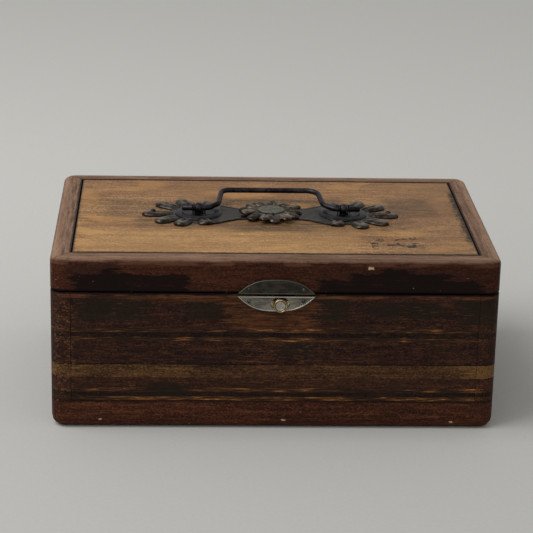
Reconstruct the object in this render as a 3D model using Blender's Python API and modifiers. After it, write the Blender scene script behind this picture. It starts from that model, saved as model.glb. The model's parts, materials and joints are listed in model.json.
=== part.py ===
"""A hinged wooden box with a bail handle and a push-button latch, holding a carved mancala board.

Units are metres. The origin is the centre of the underside. +X runs along the width, to the right
as one faces the latch; +Y runs from the latch to the hinges; +Z is up. The lid is shut.
"""

import math

import bmesh
import bpy
from mathutils import Matrix, Vector

MM = 0.001

# The case
WIDTH = 320 * MM
DEPTH = 208 * MM
LID_TOP = 129 * MM
WALL = 14.3 * MM  # boards, rails and the lid's frame are all this thick
BASE_TOP = 22 * MM
SEAM = 104 * MM  # height of the middle of the gap between the body and the lid
SEAM_GAP = 0.8 * MM
CORNER_RADIUS = 9.5 * MM
BASE_EDGE_RADIUS = 7.5 * MM
LID_EDGE_RADIUS = 4 * MM
EASE = 0.8 * MM  # small bevel on the edges that meet at the seam
BOTTOM_THICKNESS = 7 * MM
GAP = 0.3 * MM  # between pieces that touch or fit into each other
BODY_TOP = SEAM - SEAM_GAP / 2
LID_BOTTOM = SEAM + SEAM_GAP / 2
HALF_W = WIDTH / 2
HALF_D = DEPTH / 2
INNER_W = HALF_W - WALL  # half widths of the space inside
INNER_D = HALF_D - WALL
FRONT = -HALF_D

# The lid's panel has a tongue that lies in a groove round its frame
PANEL_THICKNESS = 9 * MM
PANEL_MARGIN = 0.8 * MM
PANEL_EASE = 0.9 * MM  # bevel round the panel's top
TONGUE_LENGTH = 4 * MM
TONGUE_HEIGHT = 3.5 * MM
TONGUE_BOTTOM = LID_TOP - 7.5 * MM

# The hinges: their axis lies in the seam, and both back edges are bevelled down to it
HINGE_Y = HALF_D - 2.5 * MM
HINGE_X = 95 * MM
LEAF_HALF = 15 * MM
LEAF_DEPTH = 11 * MM
MORTISE_DEPTH = LEAF_DEPTH + GAP
LEAF_THICKNESS = 0.9 * MM
LEAF_OFFSET = 0.7 * MM  # from the axis to the leaf's nearer face
KNUCKLE_RADIUS = 2.4 * MM
KNUCKLE_HALF = 5 * MM  # half the middle knuckle
PIN_RADIUS = 0.8 * MM
BEVEL_ANGLE = math.radians(51)
HINGE_SCREW_X = 9 * MM
HINGE_SCREW_Y = HINGE_Y - 7 * MM

# The playing board and the cleats that carry it
BOARD_BOTTOM = 79 * MM
BOARD_TOP = 101 * MM
PIT_COLUMNS = 6
PIT_PITCH = 38 * MM
PIT_ROW_Y = 40 * MM
PIT_RADIUS = 17.5 * MM
PIT_DEPTH = 14 * MM
STORE_X = 128.5 * MM
STORE_HALF_WIDTH = 11 * MM
STORE_HALF_LENGTH = 55 * MM
STORE_DEPTH = 12 * MM
NOTCH_HALF_WIDTH = 15 * MM
NOTCH_DEPTH = 12 * MM
CLEAT = 8 * MM
CLEAT_HALF_LENGTH = 80 * MM

# The handle on the lid
PLATE_THICKNESS = 0.9 * MM
PLATE_Z = LID_TOP + GAP
PLATE_TOP = PLATE_Z + PLATE_THICKNESS
POST_X = 54.5 * MM
PLATE_NAIL_X = 88.5 * MM
WAIST_HALF = 11 * MM
PETAL_VALLEY = 22 * MM
PETALS = ((0, 43), (31, 39.5), (61, 35), (101, 28))  # angle in degrees from the tip, reach in mm
DISH_Z = PLATE_TOP + GAP
PIVOT_Z = LID_TOP + 5.4 * MM
WIRE_RADIUS = 2.05 * MM
EYE_RADIUS = 3.9 * MM
EYE_HALF = 2.2 * MM
SHANK_RADIUS = 2.2 * MM
NUT_RADIUS = 4.2 * MM
NUT_HEIGHT = 3 * MM
BAIL_END = 67 * MM
BAIL_REACH = 33.5 * MM
BAIL_TILT = math.radians(6.75)  # how far the bail stands above level where it lies at rest
ROSETTE_RADIUS = 25.3 * MM
ROSETTE_PETALS = 12
RIVET_RADIUS = 1.6 * MM

# The latch on the front
LATCH_HALF = 28 * MM
LATCH_THICKNESS = 1 * MM
UPPER_PLATE_Z = SEAM - 0.3 * MM
UPPER_PLATE_HEIGHT = 11.3 * MM
LOWER_PLATE_Z = SEAM - 1.6 * MM
LOWER_PLATE_HEIGHT = 11.5 * MM
UPPER_NAIL_Z = UPPER_PLATE_Z + 3.6 * MM
LOWER_NAIL_Z = LOWER_PLATE_Z - 3.9 * MM
LATCH_NAIL_HOLE = 0.9 * MM
LATCH_NAIL_X = 19.3 * MM
BUTTON_X = 2.8 * MM
BUTTON_Z = 96.2 * MM
BUTTON_RADIUS = 5.15 * MM
BUTTON_PROUD = 5.1 * MM
BUTTON_HEAD = 2 * MM  # thickness of the head, which stays in front of the plate when it is pressed
BUTTON_HOLE = (6.9 * MM, 4.3 * MM)
BUTTON_HOLE_Z = 96.7 * MM
CATCH_Z = 97.4 * MM
CATCH_SCREW_X = 11.6 * MM
POCKET_HALF = 13.5 * MM
POCKET_BACK = FRONT + 9 * MM
POCKET_FLOOR = 92.9 * MM
LATCH_TONGUE_X = (-12 * MM, -1.6 * MM)
LATCH_TONGUE_Y = (FRONT + 3 * MM, FRONT + 4.2 * MM)
LATCH_TONGUE_Z = (93.5 * MM, 112.8 * MM)
TONGUE_SCREW_Z = 109 * MM

FAR = 1.0  # a cutter's size where only one of its faces matters
TINY = 0.01 * MM


def start_scene():
    for obj in list(bpy.data.objects):
        bpy.data.objects.remove(obj, do_unlink=True)
    parts = bpy.data.collections.new("mancala_box")
    cutters = bpy.data.collections.new("cutters")
    cutters.hide_render = True
    for collection in (parts, cutters):
        bpy.context.scene.collection.children.link(collection)
    return parts, cutters


PARTS, CUTTERS = start_scene()


def principled(name, colour, roughness, metallic=0.0):
    material = bpy.data.materials.new(name)
    material.use_nodes = True
    shader = material.node_tree.nodes["Principled BSDF"]
    shader.inputs["Base Color"].default_value = (*colour, 1.0)
    shader.inputs["Roughness"].default_value = roughness
    shader.inputs["Metallic"].default_value = metallic
    return material


FRAME_WOOD = ("frame_wood", (0.12, 0.05, 0.028), 0.45)
WALL_WOOD = ("wall_wood", (0.085, 0.042, 0.026), 0.45)
PANEL_WOOD = ("panel_wood", (0.40, 0.22, 0.10), 0.55)
BOARD_WOOD = ("board_wood", (0.25, 0.12, 0.06), 0.5)
INSIDE_WOOD = ("inside_wood", (0.33, 0.2, 0.11), 0.7)
DARK_IRON = ("dark_iron", (0.035, 0.033, 0.036), 0.45, 0.9)
DARK_BRASS = ("dark_brass", (0.11, 0.085, 0.06), 0.45, 0.9)
BOSS_METAL = ("boss_metal", (0.22, 0.21, 0.17), 0.5, 0.9)
DARK_NICKEL = ("dark_nickel", (0.12, 0.12, 0.10), 0.4, 0.9)
NICKEL = ("nickel", (0.42, 0.41, 0.37), 0.35, 1.0)
BRASS = ("brass", (0.55, 0.43, 0.22), 0.35, 1.0)
STEEL = ("steel", (0.3, 0.3, 0.3), 0.4, 1.0)


def register(name, data, location, material=None, parent=None):
    """An object for this data. With a material it is a part of the box; without one it is a cutter."""
    obj = bpy.data.objects.new(name, data)
    obj.location = location
    if material:
        PARTS.objects.link(obj)
        data.materials.append(principled(name + "_" + material[0], *material[1:]))
    else:
        CUTTERS.objects.link(obj)
        obj.hide_render = True
        obj.display_type = "WIRE"
    if parent:
        obj.parent = parent
        obj.matrix_parent_inverse = Matrix.Translation(-parent.location)
    return obj


def pivot(name, location):
    """An empty on a joint's axis, for the pieces that turn about it."""
    empty = bpy.data.objects.new(name, None)
    empty.location = location
    empty.empty_display_size = 0.01
    PARTS.objects.link(empty)
    return empty


def mesh_from(bm, name):
    mesh = bpy.data.meshes.new(name)
    bm.to_mesh(mesh)
    bm.free()
    return mesh


def box_bmesh(size):
    bm = bmesh.new()
    bmesh.ops.create_cube(bm, size=1.0)
    bmesh.ops.scale(bm, vec=size, verts=bm.verts)
    return bm


def box(name, low, high, material=None, parent=None):
    low, high = Vector(low), Vector(high)
    return register(name, mesh_from(box_bmesh(high - low), name), (low + high) / 2, material, parent)


def cylinder(name, radius, ends, axis, material=None, parent=None, segments=16, radius_end=None):
    """A cylinder or cone between two points on a line along axis X, Y or Z."""
    low, high = Vector(ends[0]), Vector(ends[1])
    bm = bmesh.new()
    bmesh.ops.create_cone(
        bm,
        cap_ends=True,
        segments=segments,
        radius1=radius,
        radius2=radius if radius_end is None else radius_end,
        depth=(high - low).length,
    )
    turns = {"X": ("Y", 90), "Y": ("X", -90), "Z": ("Z", 0)}
    about, angle = turns[axis]
    bmesh.ops.rotate(bm, verts=bm.verts, matrix=Matrix.Rotation(math.radians(angle), 3, about))
    return register(name, mesh_from(bm, name), (low + high) / 2, material, parent)


def turned(name, profile, location, material, parent=None, rotation=(0, 0, 0), steps=16, closed=False):
    """A turned piece: the profile's (radius, height) points run down its outer side."""
    mesh = bpy.data.meshes.new(name)
    edges = [(i, i + 1) for i in range(len(profile) - 1)]
    if closed:
        edges.append((len(profile) - 1, 0))
    mesh.from_pydata([(r, 0.0, z) for r, z in profile], edges, [])
    obj = register(name, mesh, location, material, parent)
    obj.rotation_euler = rotation
    screw = obj.modifiers.new("turn", "SCREW")
    screw.steps = steps
    screw.render_steps = steps
    screw.use_merge_vertices = True
    screw.merge_threshold = 0.00005
    return obj


def outline(name, loops, thickness, location, material=None, parent=None, rotation=(0, 0, 0)):
    """A flat piece of this thickness; the loops after the first are holes."""
    curve = bpy.data.curves.new(name, "CURVE")
    curve.dimensions = "2D"
    curve.fill_mode = "BOTH"
    curve.extrude = thickness / 2
    for loop in loops:
        spline = curve.splines.new("POLY")
        spline.points.add(len(loop) - 1)
        for point, (x, y) in zip(spline.points, loop):
            point.co = (x, y, 0.0, 1.0)
        spline.use_cyclic_u = True
    obj = register(name, curve, location, material, parent)
    obj.rotation_euler = rotation
    return obj


def ellipse(centre, radii, count):
    turn = 2 * math.pi / count
    return [
        (centre[0] + radii[0] * math.cos(i * turn), centre[1] + radii[1] * math.sin(i * turn))
        for i in range(count)
    ]


def boolean(obj, cutters, operation="DIFFERENCE"):
    for cutter in cutters:
        modifier = obj.modifiers.new(cutter.name, "BOOLEAN")
        modifier.operation = operation
        modifier.solver = "EXACT"
        modifier.object = cutter


def bevel_where(bm, test, radius, segments):
    """Bevels the edges whose both ends pass the test."""
    edges = [e for e in bm.edges if all(test(v.co) for v in e.verts)]
    bmesh.ops.bevel(bm, geom=edges, offset=radius, segments=segments, profile=0.5, affect="EDGES")


def bevel_upright(bm, test):
    """Rounds the upright edges that pass the test into the box's corners."""
    upright = [e for e in bm.edges if abs((e.verts[0].co - e.verts[1].co).normalized().z) > 0.5]
    edges = [e for e in upright if test(e.verts[0].co)]
    bmesh.ops.bevel(bm, geom=edges, offset=CORNER_RADIUS, segments=5, profile=0.5, affect="EDGES")


def rounded_block(name, low_z, high_z, radii, material, parent):
    """A block of the box's outline, with round corners; radii are of its lower and upper edges."""
    half = (high_z - low_z) / 2
    bm = box_bmesh((WIDTH, DEPTH, 2 * half))
    bevel_upright(bm, lambda co: True)
    for height, radius in ((-half, radii[0]), (half, radii[1])):
        segments = 1 if radius <= EASE else 4
        bevel_where(bm, lambda co: abs(co.z - height) < TINY, radius, segments)
    return register(name, mesh_from(bm, name), (0, 0, (low_z + high_z) / 2), material, parent)


# Cutters that several pieces share


def mitre_cutter(name, corner, away):
    """Everything on one side of the mitre plane through a corner; away points into what is removed."""
    normal = Vector((away[0], away[1], 0)).normalized()
    centre = Vector((corner[0], corner[1], 0)) + normal * (FAR / 2 - GAP / 2)
    cutter = box(name, (-FAR / 2,) * 3, (FAR / 2,) * 3)
    cutter.location = centre
    cutter.rotation_euler = (0, 0, math.radians(45))
    return cutter


def make_mitres():
    """For each side, the two cutters that leave only that side's rail."""
    mitres = {side: [] for side in ("front", "back", "left", "right")}
    for x_sign, x_side in ((-1, "left"), (1, "right")):
        for y_sign, y_side in ((-1, "front"), (1, "back")):
            corner = (x_sign * HALF_W, y_sign * HALF_D)
            name = f"mitre_{y_side}_{x_side}"
            mitres[y_side].append(mitre_cutter(name + "_a", corner, (x_sign, -y_sign)))
            mitres[x_side].append(mitre_cutter(name + "_b", corner, (-x_sign, y_sign)))
    return mitres


def make_bevels():
    """The cutters for the back edges of the body and of the lid, which meet on the hinge axis."""
    bevels = {}
    for name, sign in (("body", -1), ("lid", 1)):
        across, along, thick = WIDTH + 20 * MM, 8 * MM, 3.5 * MM
        bm = box_bmesh((across, along, thick))
        bmesh.ops.translate(bm, verts=bm.verts, vec=(0, along / 2, -sign * thick / 2))
        bmesh.ops.rotate(bm, verts=bm.verts, matrix=Matrix.Rotation(sign * BEVEL_ANGLE, 3, "X"))
        bevels[name] = register(f"bevel_{name}", mesh_from(bm, name), (0, HINGE_Y, SEAM))
    return bevels


MITRES = make_mitres()
BEVELS = make_bevels()
INTERIOR = box("interior", (-INNER_W, -INNER_D, -FAR), (INNER_W, INNER_D, FAR))
LID = pivot("lid_hinge_axis", (0, HINGE_Y, SEAM))


def hinge_cutters(side, x):
    """Mortises for one hinge: the barrel, the leaf in the body and the leaf in the lid, and its screws."""
    reach = LEAF_HALF + GAP
    near = HINGE_Y - MORTISE_DEPTH
    deep = LEAF_OFFSET + LEAF_THICKNESS + GAP
    ends = ((x - reach, HINGE_Y, SEAM), (x + reach, HINGE_Y, SEAM))
    barrel = cylinder(f"{side}_barrel_space", KNUCKLE_RADIUS + 0.4 * MM, ends, "X")
    body = box(f"{side}_body_mortise", (x - reach, near, SEAM - deep), (x + reach, HINGE_Y, SEAM))
    lid = box(f"{side}_lid_mortise", (x - reach, near, SEAM), (x + reach, HINGE_Y, SEAM + deep))
    screws = {"body": [], "lid": []}
    for level, sign in (("body", -1), ("lid", 1)):
        for i, dx in enumerate((-HINGE_SCREW_X, HINGE_SCREW_X)):
            start = (x + dx, HINGE_SCREW_Y, SEAM)
            end = (x + dx, HINGE_SCREW_Y, SEAM + sign * 10.5 * MM)
            name = f"{side}_{level}_screw_hole_{i}"
            screws[level].append(cylinder(name, 1.3 * MM, (start, end), "Z", segments=12))
    return {"body": [barrel, body, *screws["body"]], "lid": [barrel, lid, *screws["lid"]]}


HINGES = {"left": -HINGE_X, "right": HINGE_X}
HINGE_CUTS = {side: hinge_cutters(side, x) for side, x in HINGES.items()}


# The case's wood


def make_base():
    for side, mitres in MITRES.items():
        name = f"base_rail_{side}"
        rail = rounded_block(name, 0, BASE_TOP - GAP, (BASE_EDGE_RADIUS, EASE / 2), FRAME_WOOD, None)
        boolean(rail, [INTERIOR, *mitres])
    size = (INNER_W - GAP, INNER_D - GAP)
    box("bottom_panel", (-size[0], -size[1], 0), (*size, BOTTOM_THICKNESS), INSIDE_WOOD)


def side_wall(side, sign):
    """A side board. Its ends show at the front and back, so its top is eased all round the outside."""
    height = BODY_TOP - BASE_TOP
    bm = box_bmesh((WALL, DEPTH, height))
    bevel_upright(bm, lambda co: co.x * sign > 0)
    top = [e for e in bm.edges if all(v.co.z > height / 2 - TINY for v in e.verts)]
    outer = [e for e in top if any(v.co.x * sign > TINY - WALL / 2 for v in e.verts)]
    bmesh.ops.bevel(bm, geom=outer, offset=EASE, segments=1, profile=0.5, affect="EDGES")
    centre = (sign * (HALF_W - WALL / 2), 0, (BODY_TOP + BASE_TOP) / 2)
    wall = register(f"{side}_wall", mesh_from(bm, side), centre, WALL_WOOD)
    boolean(wall, [BEVELS["body"]])


def make_walls():
    side_wall("left", -1)
    side_wall("right", 1)
    reach, height = INNER_W - GAP, BODY_TOP - BASE_TOP
    bm = box_bmesh((2 * reach, WALL, height))
    bevel_where(bm, lambda co: co.z > 0 and co.y < 0, EASE, 1)
    centre = (0, FRONT + WALL / 2, (BODY_TOP + BASE_TOP) / 2)
    front = register("front_wall", mesh_from(bm, "front_wall"), centre, WALL_WOOD)
    pocket = box("latch_pocket", (-POCKET_HALF, FRONT - MM, POCKET_FLOOR), (POCKET_HALF, POCKET_BACK, SEAM))
    boolean(front, [pocket, button_space(), *nail_holes("lower", LOWER_NAIL_Z), catch_screw_hole()])
    back = box("back_wall", (-reach, HALF_D - WALL, BASE_TOP), (reach, HALF_D, BODY_TOP), WALL_WOOD)
    boolean(back, [BEVELS["body"], *HINGE_CUTS["left"]["body"], *HINGE_CUTS["right"]["body"]])


def button_space():
    """A shallow oval cut behind the hole in the latch's lower plate."""
    half = 1.75 * MM
    hole = cylinder("button_space", 1, ((0, -half, 0), (0, half, 0)), "Y", segments=32)
    hole.data.transform(Matrix.Diagonal((BUTTON_HOLE[0], 1, BUTTON_HOLE[1], 1)))
    hole.location = (BUTTON_X, FRONT + 0.75 * MM, BUTTON_HOLE_Z)
    return hole


def nail_holes(level, z):
    holes = []
    for side, sign in (("left", -1), ("right", 1)):
        ends = ((sign * LATCH_NAIL_X, FRONT - MM, z), (sign * LATCH_NAIL_X, FRONT + 9 * MM, z))
        name = f"latch_{level}_{side}_nail_hole"
        holes.append(cylinder(name, LATCH_NAIL_HOLE, ends, "Y", segments=10))
    return holes


def catch_screw_hole():
    start = (CATCH_SCREW_X, POCKET_BACK - MM, CATCH_Z)
    end = (CATCH_SCREW_X, POCKET_BACK + 4.5 * MM, CATCH_Z)
    return cylinder("catch_screw_hole", 1.1 * MM, (start, end), "Y", segments=12)


def make_lid():
    deep = TONGUE_LENGTH + GAP
    groove_low = (-INNER_W - deep, -INNER_D - deep, TONGUE_BOTTOM - GAP)
    groove_high = (INNER_W + deep, INNER_D + deep, TONGUE_BOTTOM + TONGUE_HEIGHT + GAP)
    groove = box("panel_groove", groove_low, groove_high)
    low = (LATCH_TONGUE_X[0] - MM, FRONT - MM, SEAM)
    high = (-LATCH_TONGUE_X[0] + MM, FRONT + 4.5 * MM, LATCH_TONGUE_Z[1] + GAP)
    pocket = box("lid_latch_pocket", low, high)
    x = sum(LATCH_TONGUE_X) / 2
    ends = ((x, FRONT + 4 * MM, TONGUE_SCREW_Z), (x, FRONT + 11 * MM, TONGUE_SCREW_Z))
    screw = cylinder("tongue_screw_hole", 1.2 * MM, ends, "Y", segments=12)
    extra = {
        "front": [pocket, screw, *nail_holes("upper", UPPER_NAIL_Z)],
        "back": [BEVELS["lid"], *HINGE_CUTS["left"]["lid"], *HINGE_CUTS["right"]["lid"]],
        "left": [BEVELS["lid"]],
        "right": [BEVELS["lid"]],
    }
    for side, mitres in MITRES.items():
        name = f"lid_rail_{side}"
        rail = rounded_block(name, LID_BOTTOM, LID_TOP, (EASE, LID_EDGE_RADIUS), FRAME_WOOD, LID)
        boolean(rail, [INTERIOR, groove, *mitres, *extra[side]])
    make_panel()


def make_panel():
    field = (INNER_W - PANEL_MARGIN, INNER_D - PANEL_MARGIN)
    bm = box_bmesh((2 * field[0], 2 * field[1], PANEL_THICKNESS))
    bevel_where(bm, lambda co: co.z > 0, PANEL_EASE, 2)
    centre = (0, 0, LID_TOP - PANEL_THICKNESS / 2)
    panel = register("lid_panel", mesh_from(bm, "lid_panel"), centre, PANEL_WOOD, LID)
    edge = (INNER_W + TONGUE_LENGTH, INNER_D + TONGUE_LENGTH)
    tongue = box("panel_tongue", (-edge[0], -edge[1], TONGUE_BOTTOM), (*edge, TONGUE_BOTTOM + TONGUE_HEIGHT))
    boolean(panel, [tongue], "UNION")
    for side, sign in (("left", -1), ("right", 1)):
        post = ((sign * POST_X, 0, LID_TOP - 12 * MM), (sign * POST_X, 0, LID_TOP + MM))
        nail = ((sign * PLATE_NAIL_X, 0, LID_TOP - 8 * MM), (sign * PLATE_NAIL_X, 0, LID_TOP + MM))
        boolean(panel, [cylinder(f"{side}_post_hole", SHANK_RADIUS + 0.4 * MM, post, "Z")])
        boolean(panel, [cylinder(f"{side}_plate_nail_hole", 1.1 * MM, nail, "Z", segments=10)])
    rivet = ((0, 0, LID_TOP - 7.5 * MM), (0, 0, LID_TOP + MM))
    boolean(panel, [cylinder("rivet_hole", RIVET_RADIUS + 0.4 * MM, rivet, "Z", segments=12)])


# The hinges


def make_leaf(side, level, x):
    """One leaf with its knuckles: two outer knuckles on the body's leaf, one in the middle on the lid's."""
    name = f"hinge_{side}_{level}_leaf"
    sign = 1 if level == "lid" else -1
    heights = sorted((SEAM + sign * LEAF_OFFSET, SEAM + sign * (LEAF_OFFSET + LEAF_THICKNESS)))
    low = (x - LEAF_HALF, HINGE_Y - LEAF_DEPTH, heights[0])
    high = (x + LEAF_HALF, HINGE_Y - 0.2 * MM, heights[1])
    leaf = box(name, low, high, BRASS, LID if level == "lid" else None)
    outer, wide, narrow = LEAF_HALF, KNUCKLE_HALF + GAP / 2, KNUCKLE_HALF - GAP / 2
    if level == "body":
        spans, gaps = ((-outer, -wide), (wide, outer)), ((-wide, wide),)
    else:
        spans, gaps = ((-narrow, narrow),), ((-outer - MM, -narrow), (narrow, outer + MM))
    for i, (a, b) in enumerate(gaps):
        low = (x + a, HINGE_Y - KNUCKLE_RADIUS - 0.5 * MM, SEAM - 5 * MM)
        high = (x + b, HINGE_Y + 5 * MM, SEAM + 5 * MM)
        boolean(leaf, [box(f"{name}_clearance_{i}", low, high)])
    for i, (a, b) in enumerate(spans):
        ends = ((x + a, HINGE_Y, SEAM), (x + b, HINGE_Y, SEAM))
        boolean(leaf, [cylinder(f"{name}_knuckle_{i}", KNUCKLE_RADIUS, ends, "X", segments=20)], "UNION")
    ends = ((x - 20 * MM, HINGE_Y, SEAM), (x + 20 * MM, HINGE_Y, SEAM))
    boolean(leaf, [cylinder(f"{name}_pin_hole", PIN_RADIUS + 0.35 * MM, ends, "X", segments=12)])
    turn = (0, 0, 0) if level == "body" else (math.pi, 0, 0)
    top = SEAM + sign * LEAF_OFFSET
    for i, dx in enumerate((-HINGE_SCREW_X, HINGE_SCREW_X)):
        place = (x + dx, HINGE_SCREW_Y, top)
        near, far = (*place[:2], top - sign * 0.2 * MM), (*place[:2], top + sign * 1.3 * MM)
        head, shank = 2.5 * MM, 1.3 * MM
        ends, radii = ((near, far), (head, shank)) if sign > 0 else ((far, near), (shank, head))
        hole_name = f"{name}_screw_hole_{i}"
        boolean(leaf, [cylinder(hole_name, radii[0], ends, "Z", segments=16, radius_end=radii[1])])
        screw_name = f"hinge_{side}_{level}_screw_{i + 1}"
        countersunk_screw(screw_name, place, turn, LID if level == "lid" else None)


def countersunk_screw(name, location, rotation, parent):
    head, shank, length = 2.0 * MM, 0.9 * MM, 9 * MM
    profile = [
        (0, 0),
        (head, 0),
        (head, -0.15 * MM),
        (shank, -1.2 * MM),
        (shank, -length),
        (0, -length - 0.8 * MM),
    ]
    turned(name, profile, location, BRASS, parent, rotation, steps=12)


def make_hinges():
    for side, x in HINGES.items():
        for level in ("body", "lid"):
            make_leaf(side, level, x)
        ends = ((x - LEAF_HALF, HINGE_Y, SEAM), (x + LEAF_HALF, HINGE_Y, SEAM))
        cylinder(f"hinge_{side}_pin", PIN_RADIUS, ends, "X", STEEL, segments=12)


# The playing board


def make_board():
    edge = (INNER_W - 0.4 * MM, INNER_D - 0.4 * MM)
    board = box("pit_board", (-edge[0], -edge[1], BOARD_BOTTOM), (*edge, BOARD_TOP), BOARD_WOOD)
    ball = (PIT_RADIUS**2 + PIT_DEPTH**2) / (2 * PIT_DEPTH)  # the ball that cuts such a pit
    bm = bmesh.new()
    for column in range(PIT_COLUMNS):
        x = (column - (PIT_COLUMNS - 1) / 2) * PIT_PITCH
        for y in (-PIT_ROW_Y, PIT_ROW_Y):
            place = Matrix.Translation((x, y, BOARD_TOP + ball - PIT_DEPTH))
            bmesh.ops.create_uvsphere(bm, u_segments=16, v_segments=9, radius=ball, matrix=place)
    for x in (-STORE_X, STORE_X):
        shape = Matrix.Diagonal((STORE_HALF_WIDTH, STORE_HALF_LENGTH, STORE_DEPTH, 1))
        place = Matrix.Translation((x, 0, BOARD_TOP + 0.05 * MM)) @ shape
        bmesh.ops.create_uvsphere(bm, u_segments=20, v_segments=10, radius=1.0, matrix=place)
    pits = register("pits", mesh_from(bm, "pits"), (0, 0, 0))
    low = (-NOTCH_HALF_WIDTH, -edge[1] - MM, 0)
    notch = box("finger_notch", low, (NOTCH_HALF_WIDTH, NOTCH_DEPTH - edge[1], FAR))
    boolean(board, [pits, notch])
    for side, sign in (("left", -1), ("right", 1)):
        xs = sorted((sign * (INNER_W - CLEAT - GAP), sign * (INNER_W - GAP)))
        top = BOARD_BOTTOM - GAP
        low, high = (xs[0], -CLEAT_HALF_LENGTH, top - CLEAT), (xs[1], CLEAT_HALF_LENGTH, top)
        box(f"{side}_cleat", low, high, INSIDE_WOOD)


# The handle


def nail_profile(head, height, shank, length):
    return [
        (0, height),
        (0.55 * head, 0.82 * height),
        (0.9 * head, 0.45 * height),
        (head, 0),
        (shank, 0),
        (shank, -length),
        (0, -length - shank),
    ]


def petal_reach(angle):
    """Distance from a dish's centre to the plate's lobed edge, at this angle in degrees from the tip."""
    for i, ((a, reach_a), (b, reach_b)) in enumerate(zip(PETALS, PETALS[1:])):
        if angle <= b:
            part = (angle - a) / (b - a)
            reach = reach_a + (reach_b - reach_a) * part
            break
    else:
        part = (angle - PETALS[-1][0]) / 42
        reach = PETALS[-1][1]
    lobe = abs(math.cos(math.pi * part)) ** 0.5
    return PETAL_VALLEY + (reach * MM - PETAL_VALLEY) * lobe


def plate_outline():
    """The leaf plate: a fan of lobes round each dish, joined by a narrow waist."""
    quarter = []
    for angle in range(0, 121, 4):
        reach = petal_reach(angle)
        turn = math.radians(angle)
        quarter.append((POST_X + reach * math.cos(turn), reach * math.sin(turn)))
    quarter += [(36 * MM, WAIST_HALF + 3.5 * MM), (28 * MM, WAIST_HALF), (20 * MM, WAIST_HALF)]
    top = quarter + [(-x, y) for x, y in reversed(quarter)]
    return top + [(x, -y) for x, y in reversed(top[1:-1])]


def make_plate():
    holes = [ellipse((0, 0), (RIVET_RADIUS + 0.4 * MM,) * 2, 12)]
    for sign in (-1, 1):
        holes.append(ellipse((sign * POST_X, 0), (SHANK_RADIUS + 0.4 * MM,) * 2, 16))
        holes.append(ellipse((sign * PLATE_NAIL_X, 0), (1.1 * MM,) * 2, 10))
    middle = (0, 0, PLATE_Z + PLATE_THICKNESS / 2)
    outline("handle_backplate", [plate_outline(), *holes], PLATE_THICKNESS, middle, DARK_BRASS, LID)
    for side, sign in (("left", -1), ("right", 1)):
        profile = nail_profile(2.2 * MM, 1.2 * MM, 0.8 * MM, 7 * MM)
        place = (sign * PLATE_NAIL_X, 0, PLATE_TOP + GAP)
        turned(f"backplate_nail_{side}", profile, place, DARK_IRON, LID, steps=12)


def make_rosette():
    """Twelve rounded petals, held by a rivet with a flat boss for a head."""
    count = ROSETTE_PETALS * 6
    edge = []
    for i in range(count):
        turn = 2 * math.pi * i / count
        lobe = abs(math.cos(ROSETTE_PETALS * turn / 2)) ** 0.6
        radius = ROSETTE_RADIUS * (0.88 + 0.12 * lobe)
        edge.append((radius * math.cos(turn), radius * math.sin(turn)))
    thick = 2.2 * MM
    low = PLATE_TOP + GAP
    hole = ellipse((0, 0), (RIVET_RADIUS + 0.4 * MM,) * 2, 12)
    outline("handle_rosette", [edge, hole], thick, (0, 0, low + thick / 2), DARK_BRASS, LID)
    head, height = 9.8 * MM, 1.5 * MM
    profile = [
        (0, height),
        (head - 1.2 * MM, height),
        (head - 0.3 * MM, height - 0.4 * MM),
        (head, 0.3 * MM),
        (head, 0),
        (RIVET_RADIUS, 0),
        (RIVET_RADIUS, -9 * MM),
        (0, -9 * MM),
    ]
    turned("rosette_boss", profile, (0, 0, low + thick + GAP), BOSS_METAL, LID, steps=24)


def make_dish(side, sign):
    """A shallow cup with a broad rounded rim and a hollow round the post."""
    hole = SHANK_RADIUS + 0.4 * MM
    ring = [(10.2, 0.4), (11.2, 0.8), (12.2, 1.4), (13.6, 1.5), (15.4, 1.2), (16.9, 0.6), (17.6, 0.0)]
    profile = [(hole, 0.4 * MM), *((r * MM, z * MM) for r, z in ring), (hole, 0)]
    turned(f"handle_dish_{side}", profile, (sign * POST_X, 0, DISH_Z), DARK_IRON, LID, steps=28, closed=True)


def make_post(side, sign):
    """An eye for the bail's end, on a shank that goes through the lid to a nut."""
    x = sign * POST_X
    ends = ((x - EYE_HALF, 0, PIVOT_Z), (x + EYE_HALF, 0, PIVOT_Z))
    post = cylinder(f"handle_post_{side}", EYE_RADIUS, ends, "X", DARK_IRON, LID, segments=20)
    shank_end = LID_TOP - PANEL_THICKNESS - NUT_HEIGHT - 1.5 * MM
    shank = ((x, 0, shank_end), (x, 0, PIVOT_Z - 3.2 * MM))
    boolean(post, [cylinder(f"{side}_shank", SHANK_RADIUS, shank, "Z", segments=14)], "UNION")
    hole = ((x - 9 * MM, 0, PIVOT_Z), (x + 9 * MM, 0, PIVOT_Z))
    boolean(post, [cylinder(f"{side}_eye", WIRE_RADIUS + 0.4 * MM, hole, "X", segments=16)])
    top = LID_TOP - PANEL_THICKNESS - GAP
    ends = ((x, 0, top - NUT_HEIGHT), (x, 0, top))
    nut = cylinder(f"handle_nut_{side}", NUT_RADIUS, ends, "Z", DARK_IRON, LID, segments=6)
    ends = ((x, 0, top - NUT_HEIGHT - MM), (x, 0, top + MM))
    boolean(nut, [cylinder(f"{side}_nut_hole", SHANK_RADIUS + 0.3 * MM, ends, "Z", segments=14)])


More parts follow.
